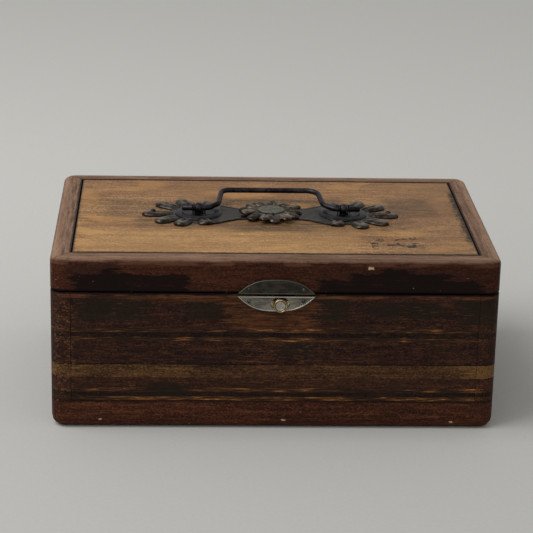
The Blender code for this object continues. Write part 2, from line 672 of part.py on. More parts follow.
def rounded_path(corners, radii, steps):
    """A path through these corners, each rounded with its own radius."""
    points = [Vector(corners[0])]
    for before, corner, after, radius in zip(corners, corners[1:], corners[2:], radii):
        corner = Vector(corner)
        to_before = (Vector(before) - corner).normalized()
        to_after = (Vector(after) - corner).normalized()
        half = to_before.angle(to_after) / 2
        run = radius / math.tan(half)
        centre = corner + (to_before + to_after).normalized() * (radius / math.sin(half))
        start = (corner + to_before * run - centre).normalized()
        end = (corner + to_after * run - centre).normalized()
        for i in range(steps + 1):
            points.append(centre + start.slerp(end, i / steps) * radius)
    points.append(Vector(corners[-1]))
    return points


def make_bail():
    """A swan-necked wire: its ends turn in the eyes, and its grip lies behind them."""
    half = [
        (BAIL_END, 0, 0),
        (47.5 * MM, 0, 0),
        (39.5 * MM, 8 * MM, 0),
        (36.5 * MM, BAIL_REACH, 0),
    ]
    corners = half + [(-x, y, z) for x, y, z in reversed(half)]
    radii = [7 * MM, 8 * MM, 5 * MM, 5 * MM, 8 * MM, 7 * MM]
    curve = bpy.data.curves.new("handle_bail", "CURVE")
    curve.dimensions = "3D"
    curve.bevel_depth = WIRE_RADIUS
    curve.bevel_resolution = 3
    curve.use_fill_caps = True
    spline = curve.splines.new("POLY")
    points = rounded_path(corners, radii, 4)
    spline.points.add(len(points) - 1)
    for target, point in zip(spline.points, points):
        target.co = (*point, 1.0)
    bail = register("handle_bail", curve, (0, 0, PIVOT_Z), DARK_IRON, LID)
    bail.rotation_euler = (BAIL_TILT, 0, 0)


def make_handle():
    make_plate()
    make_rosette()
    for side, sign in (("left", -1), ("right", 1)):
        make_dish(side, sign)
        make_post(side, sign)
    make_bail()


# The latch


def half_lens(height, steps=14):
    """Half a lens standing on its flat side, which is centred on the origin; a negative height hangs."""
    points = []
    for i in range(steps + 1):
        turn = math.pi * i / steps
        x = LATCH_HALF * math.cos(turn)
        points.append((x, height * (1 - abs(math.cos(turn)) ** 2.8)))
    corner = (0.25 * MM) * (1 if height > 0 else -1)
    points[0] = (LATCH_HALF, corner)
    points[-1] = (-LATCH_HALF, corner)
    return [(-LATCH_HALF, 0), (LATCH_HALF, 0), *points]


def plate_nail_holes(height):
    return [ellipse((sign * LATCH_NAIL_X, height), (LATCH_NAIL_HOLE,) * 2, 10) for sign in (-1, 1)]


def make_latch_plates():
    upright = (math.pi / 2, 0, 0)
    y = FRONT - GAP - LATCH_THICKNESS / 2
    upper_holes = plate_nail_holes(UPPER_NAIL_Z - UPPER_PLATE_Z)
    outline(
        "latch_plate_upper",
        [half_lens(UPPER_PLATE_HEIGHT), *upper_holes],
        LATCH_THICKNESS,
        (0, y, UPPER_PLATE_Z),
        DARK_NICKEL,
        LID,
        upright,
    )
    lower_holes = plate_nail_holes(LOWER_NAIL_Z - LOWER_PLATE_Z)
    lower_holes.append(ellipse((BUTTON_X, BUTTON_HOLE_Z - LOWER_PLATE_Z), BUTTON_HOLE, 32))
    outline(
        "latch_plate_lower",
        [half_lens(-LOWER_PLATE_HEIGHT), *lower_holes],
        LATCH_THICKNESS,
        (0, y, LOWER_PLATE_Z),
        NICKEL,
        None,
        upright,
    )
    face = FRONT - 2 * GAP - LATCH_THICKNESS
    profile = nail_profile(1.25 * MM, 0.5 * MM, 0.6 * MM, 8 * MM)
    rows = (("upper", UPPER_NAIL_Z, LID), ("lower", LOWER_NAIL_Z, None))
    for level, z, parent in rows:
        for side, sign in (("left", -1), ("right", 1)):
            name = f"latch_{level}_nail_{side}"
            turned(name, profile, (sign * LATCH_NAIL_X, face, z), STEEL, parent, upright, steps=10)


def round_head_screw(name, location, length, parent=None):
    profile = nail_profile(1.6 * MM, 1.0 * MM, 0.8 * MM, length)
    turned(name, profile, location, STEEL, parent, (math.pi / 2, 0, 0), steps=12)


def make_catch():
    """The lid's tongue, and the leaf spring whose nose holds it by its window until it is pressed back."""
    low = (LATCH_TONGUE_X[0], LATCH_TONGUE_Y[0], LATCH_TONGUE_Z[0])
    high = (LATCH_TONGUE_X[1], LATCH_TONGUE_Y[1], LATCH_TONGUE_Z[1])
    tongue = box("latch_tongue", low, high, STEEL, LID)
    window_low = (-9.1 * MM, LATCH_TONGUE_Y[0] - MM, 94.9 * MM)
    window_high = (-4.4 * MM, LATCH_TONGUE_Y[1] + MM, 100.1 * MM)
    x = sum(LATCH_TONGUE_X) / 2
    ends = ((x, LATCH_TONGUE_Y[0] - MM, TONGUE_SCREW_Z), (x, LATCH_TONGUE_Y[1] + MM, TONGUE_SCREW_Z))
    hole = cylinder("tongue_hole", 1.2 * MM, ends, "Y")
    boolean(tongue, [box("tongue_window", window_low, window_high), hole])
    round_head_screw("latch_tongue_screw", (x, LATCH_TONGUE_Y[0] - GAP, TONGUE_SCREW_Z), 6 * MM, LID)
    leaf_front, leaf_back, nose = FRONT + 5.1 * MM, FRONT + 5.7 * MM, FRONT + 2.4 * MM
    foot = POCKET_BACK - GAP
    spring_outline = [
        (13.2 * MM, foot),
        (10.0 * MM, foot),
        (10.0 * MM, leaf_back),
        (-8.6 * MM, leaf_back),
        (-8.6 * MM, nose),
        (-4.9 * MM, nose),
        (-4.9 * MM, leaf_front),
        (13.2 * MM, leaf_front),
    ]
    location = (0, 0, CATCH_Z + 0.1 * MM)
    flat = outline("catch_spring", [spring_outline], 4.2 * MM, location, STEEL)
    spring = curve_to_mesh(flat)
    ends = ((CATCH_SCREW_X, leaf_front - MM, CATCH_Z), (CATCH_SCREW_X, foot + MM, CATCH_Z))
    boolean(spring, [cylinder("spring_hole", 1.1 * MM, ends, "Y", segments=12)])
    round_head_screw("catch_spring_screw", (CATCH_SCREW_X, leaf_front - GAP, CATCH_Z), 7 * MM)


def curve_to_mesh(obj):
    """The same piece as a mesh with its caps welded on, so that it can be cut."""
    bpy.context.view_layer.update()
    evaluated = obj.evaluated_get(bpy.context.evaluated_depsgraph_get())
    mesh = bpy.data.meshes.new_from_object(evaluated)
    bm = bmesh.new()
    bm.from_mesh(mesh)
    bmesh.ops.remove_doubles(bm, verts=bm.verts, dist=0.01 * MM)
    bm.to_mesh(mesh)
    bm.free()
    name, place = obj.name, obj.matrix_world.copy()
    bpy.data.objects.remove(obj, do_unlink=True)
    solid = bpy.data.objects.new(name, mesh)
    solid.matrix_world = place
    PARTS.objects.link(solid)
    return solid


def make_button():
    """A brass button with a nickel face. Lugs behind the plate keep it in; its stem bears on the spring."""
    front = FRONT - BUTTON_PROUD
    neck, stem, recess = 3.6 * MM, 2.9 * MM, 3.9 * MM
    lug_back = FRONT + 0.8 * MM - front
    profile = [
        (0, -1.5 * MM),
        (recess, -1.5 * MM),
        (recess, -0.4 * MM),
        (4.3 * MM, 0),
        (4.7 * MM, -0.2 * MM),
        (4.9 * MM, -0.7 * MM),
        (BUTTON_RADIUS, 0.1 * MM - BUTTON_HEAD),
        (BUTTON_RADIUS - 0.1 * MM, -BUTTON_HEAD),
        (neck, -BUTTON_HEAD),
        (neck, -lug_back),
        (stem, -lug_back),
        (stem, -lug_back - 4 * MM),
        (0, -lug_back - 4 * MM),
    ]
    upright = (math.pi / 2, 0, 0)
    holder = pivot("button_slide_axis", (BUTTON_X, front, BUTTON_Z))
    button = turned("latch_button", profile, holder.location, BRASS, holder, upright, 24)
    lug_low = (BUTTON_X - 8.4 * MM, FRONT + 0.1 * MM, BUTTON_Z - 2.4 * MM)
    lug_high = (BUTTON_X + 8.4 * MM, FRONT + 0.8 * MM, BUTTON_Z + 2.4 * MM)
    boolean(button, [box("button_lugs", lug_low, lug_high)], "UNION")
    face = [(0, 1.1), (2.2, 1.0), (3.3, 0.75), (3.6, 0.4), (3.6, 0), (0, 0)]
    face_profile = [(r * MM, z * MM) for r, z in face]
    place = (BUTTON_X, front + 1.2 * MM, BUTTON_Z)
    turned("latch_button_face", face_profile, place, NICKEL, holder, upright, 20)


make_base()
make_walls()
make_lid()
make_hinges()
make_board()
make_handle()
make_latch_plates()
make_catch()
make_button()
for part in PARTS.objects:
    if part.type == "MESH":
        part.data.shade_smooth()
        part.data.set_sharp_from_angle(angle=math.radians(35))
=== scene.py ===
"""The looks of the boxed mancala board: worn wood, tarnished metal, soft light from above."""

import json
import math

import bmesh
import bpy
import numpy as np
from mathutils import Matrix, Vector


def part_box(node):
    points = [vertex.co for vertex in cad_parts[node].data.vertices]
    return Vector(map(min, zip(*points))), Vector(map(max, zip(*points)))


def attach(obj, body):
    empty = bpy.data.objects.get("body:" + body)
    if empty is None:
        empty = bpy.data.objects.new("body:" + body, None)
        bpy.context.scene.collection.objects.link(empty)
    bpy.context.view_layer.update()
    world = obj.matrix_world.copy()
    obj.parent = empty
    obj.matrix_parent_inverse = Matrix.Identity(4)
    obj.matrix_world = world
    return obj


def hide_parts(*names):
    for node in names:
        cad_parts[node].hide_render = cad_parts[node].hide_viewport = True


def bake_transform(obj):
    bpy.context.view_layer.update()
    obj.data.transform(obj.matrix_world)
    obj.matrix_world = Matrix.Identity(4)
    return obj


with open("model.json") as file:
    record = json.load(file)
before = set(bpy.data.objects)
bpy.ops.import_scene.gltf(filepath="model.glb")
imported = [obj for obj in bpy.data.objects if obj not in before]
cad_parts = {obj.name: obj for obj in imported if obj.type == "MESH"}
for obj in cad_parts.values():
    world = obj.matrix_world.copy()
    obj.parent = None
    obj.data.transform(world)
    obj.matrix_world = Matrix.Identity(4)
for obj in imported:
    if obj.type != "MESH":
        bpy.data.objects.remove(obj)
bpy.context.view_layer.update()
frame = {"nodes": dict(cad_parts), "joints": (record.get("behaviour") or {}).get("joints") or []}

MM = 0.001
NODES = frame["nodes"]


# Places that the looks are hung on, in metres, read from the frame


def middle(node, axis):
    low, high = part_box(node)
    return (low[axis] + high[axis]) / 2


LID_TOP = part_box("lid_panel")[1][2]
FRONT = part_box("lid_rail_front")[0][1]
HALF_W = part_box("lid_rail_right")[1][0]
POST_X = middle("handle_post_right", 0)
JOINTS = {joint["name"]: joint for joint in frame["joints"]}


# Camera, lights and floor


CAMERA_PLACE = (-0.073, -1.4193, 0.5816)
CAMERA_TURNS = (19.15, -2.847, 1.37)  # degrees down, to the left and over to the side
LENS, SENSOR = 133.8, 36


def make_camera():
    pitch, yaw, roll = (math.radians(turn) for turn in CAMERA_TURNS)
    data = bpy.data.cameras.new("camera")
    data.sensor_width = SENSOR
    data.lens = LENS
    data.clip_end = 50
    camera = bpy.data.objects.new("camera", data)
    turn = Matrix.Rotation(yaw, 4, "Z") @ Matrix.Rotation(math.pi / 2 - pitch, 4, "X")
    turn = turn @ Matrix.Rotation(roll, 4, "Z")
    camera.matrix_world = Matrix.Translation(CAMERA_PLACE) @ turn
    bpy.context.scene.collection.objects.link(camera)
    bpy.context.scene.camera = camera


def area_light(name, place, target, size, power):
    data = bpy.data.lights.new(name, "AREA")
    data.shape = "RECTANGLE"
    data.size, data.size_y = size
    data.energy = power
    light = bpy.data.objects.new(name, data)
    aim = Vector(target) - Vector(place)
    turn = aim.to_track_quat("-Z", "Y").to_matrix().to_4x4()
    light.matrix_world = Matrix.Translation(place) @ turn
    bpy.context.scene.collection.objects.link(light)


def make_room():
    bm = bmesh.new()
    bmesh.ops.create_grid(bm, x_segments=1, y_segments=1, size=12)
    mesh = bpy.data.meshes.new("floor")
    bm.to_mesh(mesh)
    bm.free()
    floor = bpy.data.objects.new("floor", mesh)
    bpy.context.scene.collection.objects.link(floor)
    g = Graph("floor", specular=0.2)
    paper = g.noise(g.stretch(3, 3, 3), detail=3)
    # the floor is painted lighter further back: painted light, standing in for how the lamps light the far
    # floor
    near = g.mix(paper, (0.45, 0.445, 0.43), (0.50, 0.495, 0.475))
    far = g.mix(paper, (0.57, 0.565, 0.545), (0.63, 0.625, 0.60))
    g.colour(g.mix(g.rise(g.y, -350, 700), near, far))
    g.set("Roughness", 0.85)
    floor.data.materials.append(g.material)
    world = bpy.data.worlds.new("studio")
    world.use_nodes = True
    background = world.node_tree.nodes["Background"]
    background.inputs["Color"].default_value = (1.0, 0.995, 0.97, 1)
    background.inputs["Strength"].default_value = 0.50
    bpy.context.scene.world = world
    area_light("key", (-1.15, -0.4, 1.8), (0, 0, 0.05), (1.4, 1.4), 28)
    area_light("front_fill", (-0.5, -2.4, 1.6), (0, 0, 0.05), (1.6, 1.2), 5)
    bpy.context.scene.view_settings.view_transform = "Standard"
    bpy.context.scene.view_settings.look = "None"


# Shapes. Each is made in millimetres, in the box's own frame, and scaled to metres at the end.


def join_rings(bm, first, second):
    """Faces between two rings of vertices; a ring of one vertex is a point."""
    count = max(len(first), len(second))
    for i in range(count):
        k = (i + 1) % count
        if len(first) == 1:
            bm.faces.new((first[0], second[i], second[k]))
        elif len(second) == 1:
            bm.faces.new((first[k], first[i], second[0]))
        else:
            bm.faces.new((first[k], first[i], second[i], second[k]))


def loft(bm, rings):
    """A closed skin through rings of points, with both ends capped."""
    made = [[bm.verts.new(point) for point in ring] for ring in rings]
    for first, second in zip(made, made[1:]):
        join_rings(bm, first, second)
    bm.faces.new(made[0])
    bm.faces.new(reversed(made[-1]))


def lathe(bm, profile, place=(0, 0, 0), axis="Z", steps=64, closed=False):
    """(radius, height) points turned about an axis; on Y the height runs out of the front."""
    turns = {"X": Matrix.Rotation(math.pi / 2, 3, "Y"), "Y": Matrix.Rotation(math.pi / 2, 3, "X")}
    turn = turns.get(axis, Matrix.Identity(3))
    rings = []
    for radius, height in profile:
        count = steps if radius > 1e-6 else 1
        angles = [2 * math.pi * i / steps for i in range(count)]
        points = [Vector((radius * math.cos(a), radius * math.sin(a), height)) for a in angles]
        rings.append([bm.verts.new(turn @ point + Vector(place)) for point in points])
    pairs = list(zip(rings, rings[1:]))
    if closed:
        pairs.append((rings[-1], rings[0]))
    for first, second in pairs:
        join_rings(bm, first, second)


def tube(bm, points, radius, sides=20, ends=0.35):
    """A round wire through these points, with rounded ends."""
    points = [Vector(p) for p in points]
    along = [(b - a).normalized() for a, b in zip(points, points[1:])]
    along = [along[0], *((a + b).normalized() for a, b in zip(along, along[1:])), along[-1]]
    across = along[0].orthogonal().normalized()
    rings = []
    for i, (point, direction) in enumerate(zip(points, along)):
        across = (across - across.dot(direction) * direction).normalized()
        up = direction.cross(across)
        width = radius * (ends if i in (0, len(points) - 1) else 1)
        angles = (2 * math.pi * k / sides for k in range(sides))
        rings.append([point + (across * math.cos(a) + up * math.sin(a)) * width for a in angles])
    loft(bm, rings)


def smooth(value, low, high):
    t = min(1, max(0, (value - low) / (high - low)))
    return t * t * (3 - 2 * t)


PETAL_STEPS = 18
PETAL_SIDES = 8


def petal(bm, centre, angle, start, reach, half_width, edge, lift, groove=0.0):
    """A spoon-shaped petal. edge is its edge's height at the root and at the tip."""
    along = Vector((math.cos(angle), math.sin(angle), 0))
    across = Vector((-along.y, along.x, 0))
    rings = []
    for i in range(PETAL_STEPS + 1):
        t = i / PETAL_STEPS
        end = math.sqrt(max(0.0, 1 - max(0.0, (t - 0.74) / 0.26) ** 2.2))
        width = max(0.12, half_width * (0.62 + 0.38 * smooth(t, 0, 0.6)) * end)
        height = edge[0] + (edge[1] - edge[0]) * t**1.6
        arch = lift * smooth(t, 0.02, 0.5) * (0.3 + 0.7 * end)
        ring = []
        for j in range(-PETAL_SIDES, PETAL_SIDES + 1):
            s = j / PETAL_SIDES
            dip = groove * math.exp(-((s / 0.22) ** 2)) * (1 - smooth(t, 0.55, 0.85))
            ring.append((s * width, height + arch * (1 - abs(s) ** 2.4) - dip * smooth(t, 0.05, 0.3)))
        ring += [(width * s, height - 0.8) for s in (0.8, 0, -0.8)]
        place = Vector(centre) + along * (start + (reach - start) * t)
        rings.append([place + across * v + Vector((0, 0, z)) for v, z in ring])
    loft(bm, rings)


def lens(half_width, height, steps=48):
    """The curved edge of half a lens whose straight side lies on the X axis."""
    points = []
    for i in range(steps + 1):
        turn = math.pi * i / steps
        points.append((half_width * math.cos(turn), height * (1 - abs(math.cos(turn)) ** 2.8)))
    return points


def flat_plate(bm, loops, thickness, rounding, place):
    """An upright flat piece with rounded edges and holes; its loops are (x, z) and it faces the front."""
    curve = bpy.data.curves.new("plate", "CURVE")
    curve.dimensions = "2D"
    curve.fill_mode = "BOTH"
    curve.extrude = thickness / 2 - rounding
    curve.bevel_depth = rounding
    curve.bevel_resolution = 2
    curve.offset = -rounding
    for loop in loops:
        spline = curve.splines.new("POLY")
        spline.points.add(len(loop) - 1)
        for point, (x, y) in zip(spline.points, loop):
            point.co = (x, y, 0, 1)
        spline.use_cyclic_u = True
    obj = bpy.data.objects.new("plate", curve)
    mesh = bpy.data.meshes.new_from_object(obj)
    mesh.transform(Matrix.Translation(place) @ Matrix.Rotation(math.pi / 2, 4, "X"))
    bm.from_mesh(mesh)
    bmesh.ops.remove_doubles(bm, verts=bm.verts, dist=0.002)
    bpy.data.objects.remove(obj)
    bpy.data.curves.remove(curve)
    bpy.data.meshes.remove(mesh)


def piece(name, bm, material, body, nodes, voxel=0.0, sharp=40):
    """Finishes a piece made in millimetres. With a voxel size its shells melt into one cast skin."""
    bmesh.ops.recalc_face_normals(bm, faces=bm.faces)
    bmesh.ops.scale(bm, vec=(MM, MM, MM), verts=bm.verts)
    mesh = bpy.data.meshes.new(name)
    bm.to_mesh(mesh)
    bm.free()
    obj = bpy.data.objects.new(name, mesh)
    bpy.context.scene.collection.objects.link(obj)
    if voxel:
        skin = obj.modifiers.new("skin", "REMESH")
        skin.mode = "VOXEL"
        skin.voxel_size = voxel * MM
        relax = obj.modifiers.new("relax", "SMOOTH")
        relax.factor = 0.5
        relax.iterations = 2
        evaluated = obj.evaluated_get(bpy.context.evaluated_depsgraph_get())
        obj.data = bpy.data.meshes.new_from_object(evaluated)
        obj.modifiers.clear()
    obj.data.shade_smooth()
    obj.data.set_sharp_from_angle(angle=math.radians(sharp))
    obj.data.materials.clear()
    obj.data.materials.append(material)
    if body:
        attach(obj, body)
    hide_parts(*nodes)
    return obj


# Handle


PANEL_Z = LID_TOP / MM
PLATE_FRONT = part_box("latch_plate_lower")[0][1] / MM
POST = POST_X / MM
DISH_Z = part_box("handle_dish_right")[0][2] / MM
PLATE_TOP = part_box("handle_backplate")[1][2] / MM
PIVOT_Z = JOINTS["bail_swing"]["pos_m"][2] / MM


def fan(side):
    """Angle from the outward direction, and reach, of each petal round one dish; no two are quite alike."""
    for i, (angle, reach) in enumerate(((0, 42), (31, 39), (61, 34.5), (101, 28))):
        for sign in (-1, 1) if angle else (-1,):
            uneven = math.sin(7.3 * i + 2.1 * sign + 1.7 * side)
            yield math.radians(sign * (angle + 4 + 2.5 * uneven) if angle else -4), reach + 1.0 * uneven


def make_leaf_plate(metal_look):
    """The plate: a fan of petals round each dish and a waist between them, cast in one piece."""
    bm = bmesh.new()
    waist, flare = 12.5, 25
    steps, end = 44, POST + 4
    rings = []
    for i in range(steps + 1):
        x = -end + i * 2 * end / steps
        reach = abs(x)
        half = waist + (flare - waist) * smooth(reach, 20, 47)
        half -= (flare - 15) * smooth(reach, 47, POST + 3)
        ring = []
        for j in range(-10, 11):
            s = j / 10
            rim = 0.35 * math.exp(-(((abs(s) - 0.9) / 0.07) ** 2))
            ring.append((x, s * half, PLATE_TOP - 0.15 + 0.45 * (1 - s * s) + rim))
        ring += [(x, s * half, PANEL_Z + 0.3) for s in (0.95, 0, -0.95)]
        rings.append(ring)
    loft(bm, rings)
    for side in (-1, 1):
        centre = (side * POST, 0, 0)
        rim, under = 22, PANEL_Z + 0.3
        disc = [(0, PLATE_TOP), (rim - 1, PLATE_TOP), (rim, under + 0.3), (rim, under), (0, under)]
        lathe(bm, disc, centre)
        for angle, reach in fan(side):
            direction = angle if side > 0 else math.pi - angle
            half = 5.2 if abs(angle) < 0.2 else 6.1
            petal(bm, centre, direction, 13, reach, half, (PLATE_TOP - 0.3, PANEL_Z + 1.0), 2.3, groove=1.1)
    piece("leaf_plate", bm, metal_look, "lid", ["handle_backplate"], voxel=0.42)


def make_rosette(metal_look):
    """Thirteen raised petals of uneven reach and height, cupped round the boss."""
    bm = bmesh.new()
    low, high = (corner[2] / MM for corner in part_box("handle_rosette"))
    lathe(bm, [(0, low + 2.0), (10, low + 2.0), (12, low + 0.8), (12, low + 0.2), (0, low + 0.2)])
    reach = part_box("handle_rosette")[1][0] / MM
    count = 13
    for i in range(count):
        angle = 2 * math.pi * (i + 0.14 * math.sin(5 * i)) / count
        out = reach - 1.0 - 0.9 * math.cos(2.6 * i)
        edge = (high + 0.5, high - 1.1 - 0.9 * math.cos(3.1 * i))
        petal(bm, (0, 0, 0), angle, 8.0, out, 4.3 + 0.4 * math.sin(4 * i), edge, 1.7, groove=1.3)
    piece("rosette_flower", bm, metal_look, "lid", ["handle_rosette"], voxel=0.36)


def make_boss(metal_look):
    """A low dome covered with small beads, wound out from its middle."""
    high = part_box("rosette_boss")[1]
    radius, top = high[0] / MM, high[2] / MM + 0.3
    beads = []
    count, golden_angle = 150, math.radians(137.508)
    for i in range(1, count):
        out = (radius - 1.0) * math.sqrt(i / count)
        turn = i * golden_angle
        beads.append((out * math.cos(turn), out * math.sin(turn)))
    beads = np.array(beads)
    bm = bmesh.new()
    rings = []
    steps, sides = 40, 120
    for k in range(steps + 1):
        r = radius * k / steps
        ring = []
        for i in range(sides if k else 1):
            turn = 2 * math.pi * i / sides
            x, y = r * math.cos(turn), r * math.sin(turn)
            near = np.hypot(beads[:, 0] - x, beads[:, 1] - y).min()
            z = top - 1.1 * (r / radius) ** 2.5 + 0.22 * (1 - smooth(near, 0, 0.62))
            ring.append(bm.verts.new((x, y, z)))
        rings.append(ring)
    rings.append([bm.verts.new((v.co.x * 0.98, v.co.y * 0.98, top - 1.6)) for v in rings[-1]])
    for first, second in zip(rings, rings[1:]):
        join_rings(bm, first, second)
    bm.faces.new(reversed(rings[-1]))
    piece("seed_boss", bm, metal_look, "lid", ["rosette_boss"], sharp=60)


def make_dishes(metal_look):
    """A broad ring that slopes outwards, round a dark hollow."""
    ring = [(2.7, 0.3), (9.8, 0.3), (10.6, 0.45), (11.2, 0.85), (11.8, 1.3), (12.6, 1.5), (13.6, 1.5)]
    ring += [(15.0, 1.3), (16.3, 0.95), (17.1, 0.5), (17.5, 0.25), (17.55, 0.1), (17.3, 0.0), (2.7, 0.0)]
    for name, side in (("left", -1), ("right", 1)):
        bm = bmesh.new()
        lathe(bm, ring, (side * POST, 0, DISH_Z), steps=96, closed=True)
        piece(f"dish_{name}", bm, metal_look, "lid", [f"handle_dish_{name}"])


def make_eyes(metal_look):
    """A forged eye with the bail's end in it, on a shank with a small collar."""
    for name, side in (("left", -1), ("right", 1)):
        bm = bmesh.new()
        place = Vector((side * POST, 0, PIVOT_Z))
        section = []
        for i in range(16):
            turn = 2 * math.pi * i / 16
            section.append((3.15 + 0.75 * math.cos(turn), 2.1 * math.sin(turn)))
        lathe(bm, section, place, axis="X", steps=32, closed=True)
        base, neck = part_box(f"handle_post_{name}")[0][2] / MM, PIVOT_Z - 2.9
        lathe(bm, [(0, neck), (2.0, neck), (2.1, base), (0, base)], (side * POST, 0, 0), steps=24)
        collar = DISH_Z + 0.3
        profile = [(0, collar + 0.6), (2.4, collar + 0.5), (3.2, collar), (0, collar)]
        lathe(bm, profile, (side * POST, 0, 0), steps=24)
        turns, steps = 7, 20
        binding = []
        for i in range(turns * steps + 1):
            turn = 2 * math.pi * i / steps
            out = 2.95 + 0.35 * math.sin(0.37 * turn + side)
            run = 5.2 * (2 * i / (turns * steps) - 1)
            binding.append(place + Vector((run, out * math.cos(turn), out * math.sin(turn))))
        tube(bm, binding, 0.5, sides=8)
        piece(f"eye_{name}", bm, metal_look, "lid", [f"handle_post_{name}"], voxel=0.26)


def arc_path(corners, radii, steps=12):
    """A path through these corners, each rounded with its own radius."""
    points = [Vector(corners[0])]
    for before, corner, after, radius in zip(corners, corners[1:], corners[2:], radii):
        corner = Vector(corner)
        to_before = (Vector(before) - corner).normalized()
        to_after = (Vector(after) - corner).normalized()
        half = to_before.angle(to_after) / 2
        run = radius / math.tan(half)
        centre = corner + (to_before + to_after).normalized() * (radius / math.sin(half))
        start = (corner + to_before * run - centre).normalized()
        end = (corner + to_after * run - centre).normalized()
        points += [centre + start.slerp(end, i / steps) * radius for i in range(steps + 1)]
    return [*points, Vector(corners[-1])]


def make_bail(metal_look):
    """The swan-necked wire. The bends of its right neck are the softer ones."""
    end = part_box("handle_bail")[1][0] / MM
    tilt = math.radians(6.75)
    half = [(end - 0.6, 0, 0), (47.5, 0, 0), (39.5, 8, 0), (36.5, 33.5, 0)]
    corners = half + [(-x, y, z) for x, y, z in reversed(half)]
    path = arc_path(corners, (9, 9.5, 9.5, 6.5, 8, 7))
    path = [path[0] + Vector((0.6, 0, 0)), *path, path[-1] - Vector((0.6, 0, 0))]
    place = Matrix.Translation((0, 0, PIVOT_Z)) @ Matrix.Rotation(tilt, 4, "X")
    bm = bmesh.new()
    tube(bm, [place @ point for point in path], 2.02, sides=28, ends=0.7)
    piece("bail_wire", bm, metal_look, "bail", ["handle_bail"], sharp=60)


def domed_head(radius, height):
    shoulder, side = (0.4 * radius, 0.93 * height), (0.75 * radius, 0.66 * height)
    return [(0, height), shoulder, side, (radius, 0.0), (0, -0.1)]


def make_plate_nails(metal_look):
    for name in ("left", "right"):
        node = f"backplate_nail_{name}"
        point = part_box(node)[0][2] / MM
        bm = bmesh.new()
        place = (middle(node, 0) / MM, 0, PLATE_TOP + 1.3)
        lathe(bm, domed_head(2.4, 1.7), place, steps=28)
        shank = [(0, PLATE_TOP + 1.35), (0.8, PLATE_TOP + 1.35), (0.8, point + 1), (0, point)]
        lathe(bm, shank, (place[0], 0, 0))
        piece(f"plate_nail_{name}", bm, metal_look, "lid", [node])


# Latch


def make_latch_plates(upper_look, lower_look):
    for level, look, slot, body in (
        ("upper", upper_look, "dark_nickel", "lid"),
        ("lower", lower_look, "nickel", "body"),
    ):
        node = f"latch_plate_{level}"
        low, high = (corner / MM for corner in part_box(node))
        half = high[0]
        base, height = (low[2], high[2] - low[2]) if level == "upper" else (high[2], low[2] - high[2])
        outline = lens(half, height)
        loops = [outline]
        for side in ("left", "right"):
            nail = f"latch_{level}_nail_{side}"
            centre = (middle(nail, 0) / MM, middle(nail, 2) / MM - base)
            loops.append(circle(centre, 0.9, 0.9, 16))
        if level == "lower":
            loops.append(circle((BUTTON[0], 96.7 - base), 6.9, 4.3, 64))
        bm = bmesh.new()
        thick = high[1] - low[1]
        flat_plate(bm, loops, thick - 0.1, 0.18, (0, (low[1] + high[1]) / 2 + 0.05, base))
        front = low[1] + 0.1
        inset = 0.62
        scale_x, scale_z = (half - 2.2 * inset) / half, (abs(height) - 2 * inset) / abs(height)
        lift = inset if height > 0 else -inset
        rim = [(x * scale_x, front, base + lift + z * scale_z) for x, z in outline]
        tube(bm, [*rim, *ease_line(rim[-1], rim[0])], 0.36, sides=10, ends=0.9)
        piece(f"latch_{level}", bm, look, body, [node])


def ease_line(start, end, count=8):
    start, end = Vector(start), Vector(end)
    return [start.lerp(end, i / count) for i in range(1, count + 1)]


def circle(centre, half_x, half_y, count):
    turn = 2 * math.pi / count
    points = []
    for i in range(count):
        points.append((centre[0] + half_x * math.cos(i * turn), centre[1] + half_y * math.sin(i * turn)))
    return points


def make_latch_nails(metal_look):
    for level, body in (("upper", "lid"), ("lower", "body")):
        for side in ("left", "right"):
            node = f"latch_{level}_nail_{side}"
            x, z = middle(node, 0) / MM, middle(node, 2) / MM
            bm = bmesh.new()
            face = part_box(node)[0][1] / MM + 0.5
            lathe(bm, domed_head(1.35, 0.55), (x, face, z), axis="Y", steps=24)
            lathe(bm, [(0, 0), (0.6, 0), (0.6, -7), (0, -8)], (x, face, z), axis="Y", steps=16)
            piece(f"latch_nail_{level}_{side}", bm, metal_look, body, [node])


BUTTON = (middle("latch_button", 0) / MM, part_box("latch_button")[0][1] / MM, middle("latch_button", 2) / MM)


def make_button(ring_look, face_look):
    """A turned brass ring round a dished nickel face with a dot at its middle, on a stem with lugs."""
    front = BUTTON[1]
    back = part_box("latch_button")[1][1] / MM - front
    profile = [(0, -1.5), (3.75, -1.5), (3.8, -0.9), (3.9, -0.35), (4.15, -0.06), (4.4, 0), (4.65, -0.1)]
    profile += [(4.82, -0.4), (4.95, -0.9), (5.1, -1.6), (5.15, -1.85), (5.0, -2.0), (3.6, -2.0)]
    profile += [(3.6, -5.9), (2.9, -5.9), (2.9, -back), (0, -back)]
    bm = bmesh.new()
    lathe(bm, profile, BUTTON, axis="Y", steps=80)
    lug = Matrix.Translation((BUTTON[0], -103.55, BUTTON[2])) @ Matrix.Diagonal((16.8, 0.7, 4.8, 1))
    bmesh.ops.create_cube(bm, size=1, matrix=lug)
    piece("button_ring", bm, ring_look, "button", ["latch_button"])
    bm = bmesh.new()
    face = [(0, 0.45), (0.35, 0.42), (0.5, 0.2), (0.75, 0.16), (1.6, 0.24), (2.5, 0.45), (3.1, 0.75)]
    face += [(3.4, 0.85), (3.6, 0.6), (3.65, 0.2), (3.6, 0), (0, 0)]
    lathe(bm, face, (BUTTON[0], front + 1.2, BUTTON[2]), axis="Y", steps=64)
    piece("button_face", bm, face_look, "button", ["latch_button_face"])


